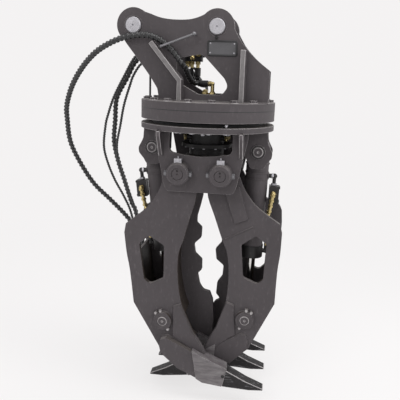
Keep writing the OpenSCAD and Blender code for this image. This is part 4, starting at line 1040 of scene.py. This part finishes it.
class GRAPPLE_OT_nameplate(bpy.types.Operator):
    """Adds the rim and the rivets of the bare nameplate"""

    bl_idname = "grapple.nameplate"
    bl_label = "Nameplate"

    def execute(self, context):
        low, high = (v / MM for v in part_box("nameplate"))
        face = low.y
        round_r = 5.0
        rim = []
        left, right = low.x + round_r, high.x - round_r
        under, over = low.z + round_r, high.z - round_r
        for x, z, start in ((right, over, 0), (left, over, 90), (left, under, 180),
                (right, under, 270)):
            rim += [(x + round_r * cos(radians(start + q)), face, z + round_r * sin(radians(start + q)))
                for q in (0, 22, 45, 68, 90)]
        piece("nameplate_rim", [tube(spread(rim, 3.0, True), 4.0, 8, True)], "hose_rubber",
            "head")
        rivets = []
        for x in (low.x + 10, high.x - 10):
            for z in (low.z + 10, high.z - 10):
                rivets.append(at(lathe([(0, 0), (3.6, 0), (3.3, 1.1), (2.2, 2.0), (0, 2.4)], 16),
                    (x, face, z), (0, -1, 0)))
        piece("nameplate_rivets", rivets, "zinc", "head")
        return {"FINISHED"}


class GRAPPLE_OT_head_trim(bpy.types.Operator):
    """Adds the washers, nuts, plugs, cartridges and nipples of the head"""

    bl_idname = "grapple.head_trim"
    bl_label = "Head trim"

    def execute(self, context):
        rings = [moved(washer(11, 19.5, 3.0), Matrix.Translation(spot))
            for spot in circle(BOLT_CIRCLE, sizes().flange_bolts, FLANGE_TOP)]
        # The washers take the edge finish: a painted highlight with worn patches
        piece("flange_washers", rings, "worn_and_highlit_edge", "head", AT_SLEW)
        inside, outside = FLANGE_R - 1.0, FLANGE_R + 0.3
        groove = lathe([(inside, -37.6), (outside, -37.6), (outside, -34.4), (inside, -34.4)], 128,
            closed=True)
        piece("ring_joint", [moved(groove, Matrix.Translation((0, 0, FLANGE_TOP)))], "hose_rubber",
            "head", AT_SLEW)

        ring_lip = lathe([(262, RING_BOTTOM - 1), (270, RING_BOTTOM - 1), (272, RING_BOTTOM - 5),
            (268, RING_BOTTOM - 10), (264, RING_BOTTOM - 8)], 96, closed=True)
        piece("ring_seal", [ring_lip], "hose_rubber", "head", AT_SLEW)
        piece("ring_nipple", [at(nipple(1.1), (118, -288, RING_BOTTOM - 8), (0.25, -1, -0.35)),
            at(hexagon(7, 8), (118, -280, RING_BOTTOM - 8), (0.25, -1, -0.1))],
            "zinc", "head", AT_SLEW)

        nuts = []
        for x in (-30, -66):
            nuts.append(moved(hexagon(17, 12, 1.5), Matrix.Translation((x, 0, -303))))
            nuts.append(moved(lathe([(0, 0), (12.5, 0), (12.5, 5), (11, 6), (0, 6)], 24),
                Matrix.Translation((x, 0, -291))))
        nuts.append(at(hexagon(14.5, 13, 1.5), (-36, 0, -249), (-1, 0, 0)))
        nuts.append(at(hexagon(14.5, 13, 1.5), (-66, 6, -288), (0, 1, 0)))
        piece("elbow_nuts", nuts, "fitting_brass", "head")

        cartridges = []
        for x, z in ((-166, -112), (-141, -128), (-112, -112)):
            cartridges.append(at(lathe([(0, 0), (11, 0), (11, 6), (9, 7), (9, 12), (7, 13),
                (7, 18), (5, 20), (0, 20)], 20), (x, RELIEF_FACE, z), (0, -1, 0)))
            cartridges.append(at(hexagon(12.5, 6), (x, RELIEF_FACE, z), (0, -1, 0)))
        piece("relief_cartridges", cartridges, "fitting_brass", "head")
        screws = [at(socket_screw(5.5, 6), (x, RELIEF_FACE, z), (0, -1, 0))
            for x, z in ((-174, -139), (-102, -139), (-102, -96))]
        piece("relief_screws", screws, "black_iron", "head")

        motor = []
        for screw, spots in ((socket_screw(7, 8), circle(62, 4, FLANGE_TOP + 18, pi / 4)),
                (socket_screw(5, 5), circle(40, 6, FLANGE_TOP + 150))):
            motor += [moved(screw, Matrix.Translation(spot + Vector((MOTOR_X, 0, 0))))
                for spot in spots]
        piece("motor_screws", motor, "zinc", "head")
        fins = [moved(lathe([(46, 0), (52.5, 0), (52.5, 4), (46, 4)], 64, closed=True),
            Matrix.Translation((MOTOR_X, 0, FLANGE_TOP + z))) for z in (30, 60, 90, 120)]
        piece("motor_bands", fins, "black_iron", "head")

        nipples = [at(nipple(), (-2, -EAR_FACE, -47), (0, -1, 0)),
            at(hexagon(8, 5), (-2, -EAR_FACE, -47), (0, -1, 0))]
        piece("pin_nipple", nipples, "black_iron", "head")
        return {"FINISHED"}


class GRAPPLE_OT_turntable_trim(bpy.types.Operator):
    """Adds the nipples, screws, plugs and pin keepers of the turntable"""

    bl_idname = "grapple.turntable_trim"
    bl_label = "Turntable trim"

    def execute(self, context):
        small = []
        for side in (-1, 1):
            for x in (-HINGE_X, HINGE_X):
                small.append(at(nipple(0.9),
                    (x, side * (PLATE_FACE + 24), HINGE_Z + 70), (0, 0, 1)))
                for dx in (-11, 11):
                    small.append(at(socket_screw(3.4, 3),
                        (x + dx, side * (PLATE_FACE + 37.2), HINGE_Z + 58), (0, side, 0)))
        piece("hinge_nipples", small, "zinc", "turntable", AT_SLEW)

        clips = []
        for side in (-1, 1):
            for x in (-HINGE_X, HINGE_X):
                ring = lathe([(28.5, 0), (35, 0), (35.5, 1.2), (34.5, 2.4), (28.5, 2.4)], 48,
                    closed=True)
                clips.append(at(ring, (x, side * (PLATE_FACE + 44), HINGE_Z), (0, side, 0)))
            for x in (-PIN_X, PIN_X):
                clips.append(at(lathe([(25.6, 0), (31, 0), (31, 1.4), (25.6, 1.4)], 48, closed=True),
                    (x, side * 89.2, PIN_Z), (0, side, 0)))
        piece("pin_rings", clips, "black_iron", "turntable", AT_SLEW)

        plugs = []
        for q in (25, 155, 205, 335):
            a = radians(q)
            way = Vector((cos(a), sin(a), 0))
            plugs.append(at(hexagon(14, 10, 1.5),
                way * SWIVEL_PORTS + Vector((0, 0, LOWER_BOTTOM - 44)), way))
        piece("swivel_plugs", plugs, "fitting_brass", "turntable", AT_SLEW)
        bands = [moved(lathe([(83, 0), (85.6, 0.6), (85.6, 4.4), (83, 5)], 72, closed=True),
            Matrix.Translation((0, 0, LOWER_BOTTOM - z))) for z in (110, 98, 66)]
        piece("swivel_bands", bands, "ring_steel", "turntable", AT_SLEW)
        screws = [at(socket_screw(6, 6), spot, (0, 0, -1))
            for spot in circle(SWIVEL_RIM, 12, LOWER_BOTTOM - 88)]
        piece("swivel_screws", screws, "zinc", "turntable", AT_SLEW)
        return {"FINISHED"}


class GRAPPLE_OT_cylinder_trim(bpy.types.Operator):
    """Adds the plugs, nuts, seals and screws of the two cylinders"""

    bl_idname = "grapple.cylinder_trim"
    bl_label = "Cylinder trim"

    def execute(self, context):
        for side, name in SIDE_NAME.items():
            place = in_cylinder(side)
            body = name + "_barrel"
            plugs = [at(socket_screw(4.6, 4), (114, y, d), (1, 0, 0))
                for y in (-17, 17) for d in (177, 245)]
            plugs.append(at(hexagon(11, 7), (90, 25, 205), (0, 1, 0)))
            plugs.append(at(hexagon(10, 6), (90, 0, 253), (0, 0, 1)))
            piece(name + "_valve_screws", plugs, "black_iron", body, place)
            top, low = Vector((87, -40, 205)), Vector((73, -40, 298))
            nuts = [at(hexagon(13, 10, 1.2), top.lerp(low, t), low - top)
                for t in (0.04, 0.3, 0.58, 0.88)]
            nuts.append(at(hexagon(13, 9, 1.2), (87, -25, 205), (0, -1, 0)))
            piece(name + "_brass_nuts", nuts, "fitting_brass", body, place)
            elbow = [at(hexagon(14, 10, 1.2), (PORT_X + 16, 0, PORT_Z), (1, 0, 0)),
                at(hexagon(14, 10, 1.2), (86, 0, 157), (0, 0, 1))]
            piece(name + "_port_nuts", elbow, "zinc", body, place)
            # Painted shade: black discs on the gland stand in for the shade inside its spanner notches
            notch_shade = lathe([(0, 0), (5, 0), (5, 1.2), (3.6, 1.6), (0, 0.8)], 16)
            notches = [at(notch_shade, spot, (spot.x, spot.y, 0))
                for spot in circle(57.4, 6, 508, pi / 6)]
            piece(name + "_gland_notch_shade", notches, "hose_rubber", body, place)
            wiper = lathe([(25.3, 535), (33, 535), (33, 537), (29, 541), (25.3, 542)], 48, closed=True)
            piece(name + "_wiper", [wiper], "hose_rubber", body, place)
            ring = lathe([(55.2, 474), (58.6, 474.5), (58.6, 479), (55.2, 479.5)], 64, closed=True)
            piece(name + "_gland_ring", [ring], "ring_steel", body, place)
            piece(name + "_eye_nipple", [at(nipple(), (0, 0, -56), (0, 0, -1))],
                "zinc", body, place)
        return {"FINISHED"}


class GRAPPLE_OT_jaw_trim(bpy.types.Operator):
    """Adds the keeper bolts, the rod pin rings and the tooth pins of the jaws"""

    bl_idname = "grapple.jaw_trim"
    bl_label = "Jaw trim"

    def execute(self, context):
        for side, name in SIDE_NAME.items():
            place = in_jaw(side)
            half = HALF_WIDTH[side]
            bolts = []
            for face in (-1, 1):
                for q in (-50, -80, 120):
                    a = radians(q)
                    x = ROD_PIN[0] + 50.8 * cos(a)
                    z = ROD_PIN[1] - 50.8 * sin(a)
                    seat = aim((x, face * (half + KEEPER_REACH), z), (0, face, 0))
                    bolts += [moved(washer(4, 7.4, 1.6), seat), moved(hexagon(6.6, 7.5, 0.8), seat)]
            # The keeper bolts take the edge finish: a painted highlight with worn patches
            piece(name + "_keeper_bolts", bolts, "worn_and_highlit_edge", name + "_jaw", place)
            rings = []
            for face in (-1, 1):
                ring = lathe([(26, 0), (33, 0), (33.5, 1), (32.5, 2.2), (26, 2.2)], 48, closed=True)
                seat = (ROD_PIN[0], face * (half + PIN_REACH), ROD_PIN[1])
                rings.append(at(ring, seat, (0, face, 0)))
            piece(name + "_rod_pin_rings", rings, "weld_paint", name + "_jaw", place)
            pins = []
            for y in TINES[side]:
                for face in (-1, 1):
                    pins.append(at(lathe([(0, 0), (8, 0), (8, 1.2), (6.6, 2.0), (0, 1.6)], 20),
                        (-196, y + face * 33, -1010), (0, face, 0)))
            piece(name + "_tooth_pins", pins, "ring_steel", name + "_jaw", place)
        return {"FINISHED"}


class GRAPPLE_OT_stage(bpy.types.Operator):
    """Adds the studio floor, the soft lights and the pale background"""

    bl_idname = "grapple.stage"
    bl_label = "Stage"

    def execute(self, context):
        c = colours()
        scene = context.scene
        scene.view_settings.view_transform = "Standard"

        world = bpy.data.worlds.new("studio_world")
        world.use_nodes = True
        scene.world = world
        sky = Recipe(world)
        path = sky.add("ShaderNodeLightPath", output="Is Camera Ray")
        seen = (path + path.out("Is Glossy Ray") + path.out("Is Transmission Ray")).held()
        soft = sky.add("ShaderNodeBackground", {}, {"Color": (1, 1, 1, 1), "Strength": 0.74})
        pale = sky.add("ShaderNodeBackground", {}, {"Color": rgba(c.studio), "Strength": 1.0})
        both = sky.add("ShaderNodeMixShader", {}, {0: seen, 1: soft, 2: pale})
        sky.add("ShaderNodeOutputWorld", {}, {"Surface": both})

        rings, sides = (0.5, 1, 2, 3, 4, 6, 10, 20, 40), 64
        mesh = bpy.data.meshes.new("studio_floor")
        points = [(0, 0, 0)] + [(r * cos(2 * pi * k / sides), r * sin(2 * pi * k / sides), 0)
            for r in rings for k in range(sides)]
        faces = [(0, 1 + k, 1 + (k + 1) % sides) for k in range(sides)]
        for i in range(len(rings) - 1):
            for k in range(sides):
                n = (k + 1) % sides
                faces.append((1 + i * sides + k, 1 + (i + 1) * sides + k, 1 + (i + 1) * sides + n,
                    1 + i * sides + n))
        mesh.from_pydata(points, [], faces)
        floor = bpy.data.objects.new("studio_floor", mesh)
        floor.location = (SLEW_X * MM, 0, sizes().floor_level)
        scene.collection.objects.link(floor)
        material = bpy.data.materials.new("studio_floor")
        material.use_nodes = True
        ground = Recipe(material)
        far = ground.add("ShaderNodeVectorMath", {"operation": "LENGTH"}, {0: ground.place()}, "Value")
        fade = ((far - 1.4) / 2.2).held()
        camera = ground.add("ShaderNodeLightPath", output="Is Camera Ray")
        share = (fade + (1.0 - fade) * camera * 0.78).held()
        matte = ground.add("ShaderNodeBsdfDiffuse", {}, {"Color": (0.86, 0.85, 0.85, 1)})
        glow = ground.add("ShaderNodeEmission", {}, {"Color": rgba(c.studio), "Strength": 1.0})
        ground.add("ShaderNodeOutputMaterial", {}, {"Surface":
            ground.add("ShaderNodeMixShader", {}, {0: share, 1: matte, 2: glow})})
        mesh.materials.append(material)

        for name, place, aimed, size, power in (
                ("overhead", (0.5, -0.7, 4.2), (-0.05, 0.0, -0.8), 3.6, 120.0),
                ("front", (-2.4, -4.2, 2.4), (-0.05, 0.0, -0.9), 2.0, 70.0),
                ("side", (3.4, -0.9, 1.6), (-0.05, 0.0, -0.9), 2.0, 70.0)):
            data = bpy.data.lights.new(name, "AREA")
            data.shape = "SQUARE"
            data.size = size
            data.energy = power
            lamp = bpy.data.objects.new(name, data)
            lamp.matrix_world = aim(place, Vector(place) - Vector(aimed))
            scene.collection.objects.link(lamp)
        return {"FINISHED"}


OPERATORS = (GRAPPLE_OT_camera, GRAPPLE_OT_hoses, GRAPPLE_OT_jumpers, GRAPPLE_OT_solids,
    GRAPPLE_OT_welds, GRAPPLE_OT_nameplate, GRAPPLE_OT_head_trim, GRAPPLE_OT_turntable_trim,
    GRAPPLE_OT_cylinder_trim, GRAPPLE_OT_jaw_trim, GRAPPLE_OT_stage)


class GRAPPLE_PT_panel(bpy.types.Panel):
    """Sizes, colours and steps of the grapple"""

    bl_idname = "GRAPPLE_PT_panel"
    bl_label = "Grapple"
    bl_space_type = "VIEW_3D"
    bl_region_type = "UI"
    bl_category = "Grapple"

    def draw(self, context):
        for group in (context.scene.grapple_sizes, context.scene.grapple_colours):
            for name in group.__annotations__:
                self.layout.prop(group, name)
        for operator in OPERATORS:
            self.layout.operator(operator.bl_idname)


CLASSES = (GrappleSizes, GrappleColours, *OPERATORS, GRAPPLE_PT_panel)


def register():
    for item in CLASSES:
        bpy.utils.register_class(item)
    bpy.types.Scene.grapple_sizes = PointerProperty(type=GrappleSizes)
    bpy.types.Scene.grapple_colours = PointerProperty(type=GrappleColours)


def unregister():
    del bpy.types.Scene.grapple_sizes
    del bpy.types.Scene.grapple_colours
    for item in reversed(CLASSES):
        bpy.utils.unregister_class(item)


def main():
    register()
    bpy.ops.grapple.camera()
    bpy.ops.grapple.hoses()
    bpy.ops.grapple.jumpers()
    bpy.ops.grapple.solids()
    bpy.ops.grapple.welds()
    bpy.ops.grapple.nameplate()
    bpy.ops.grapple.head_trim()
    bpy.ops.grapple.turntable_trim()
    bpy.ops.grapple.cylinder_trim()
    bpy.ops.grapple.jaw_trim()
    bpy.ops.grapple.stage()


if __name__ == "__main__":
    main()
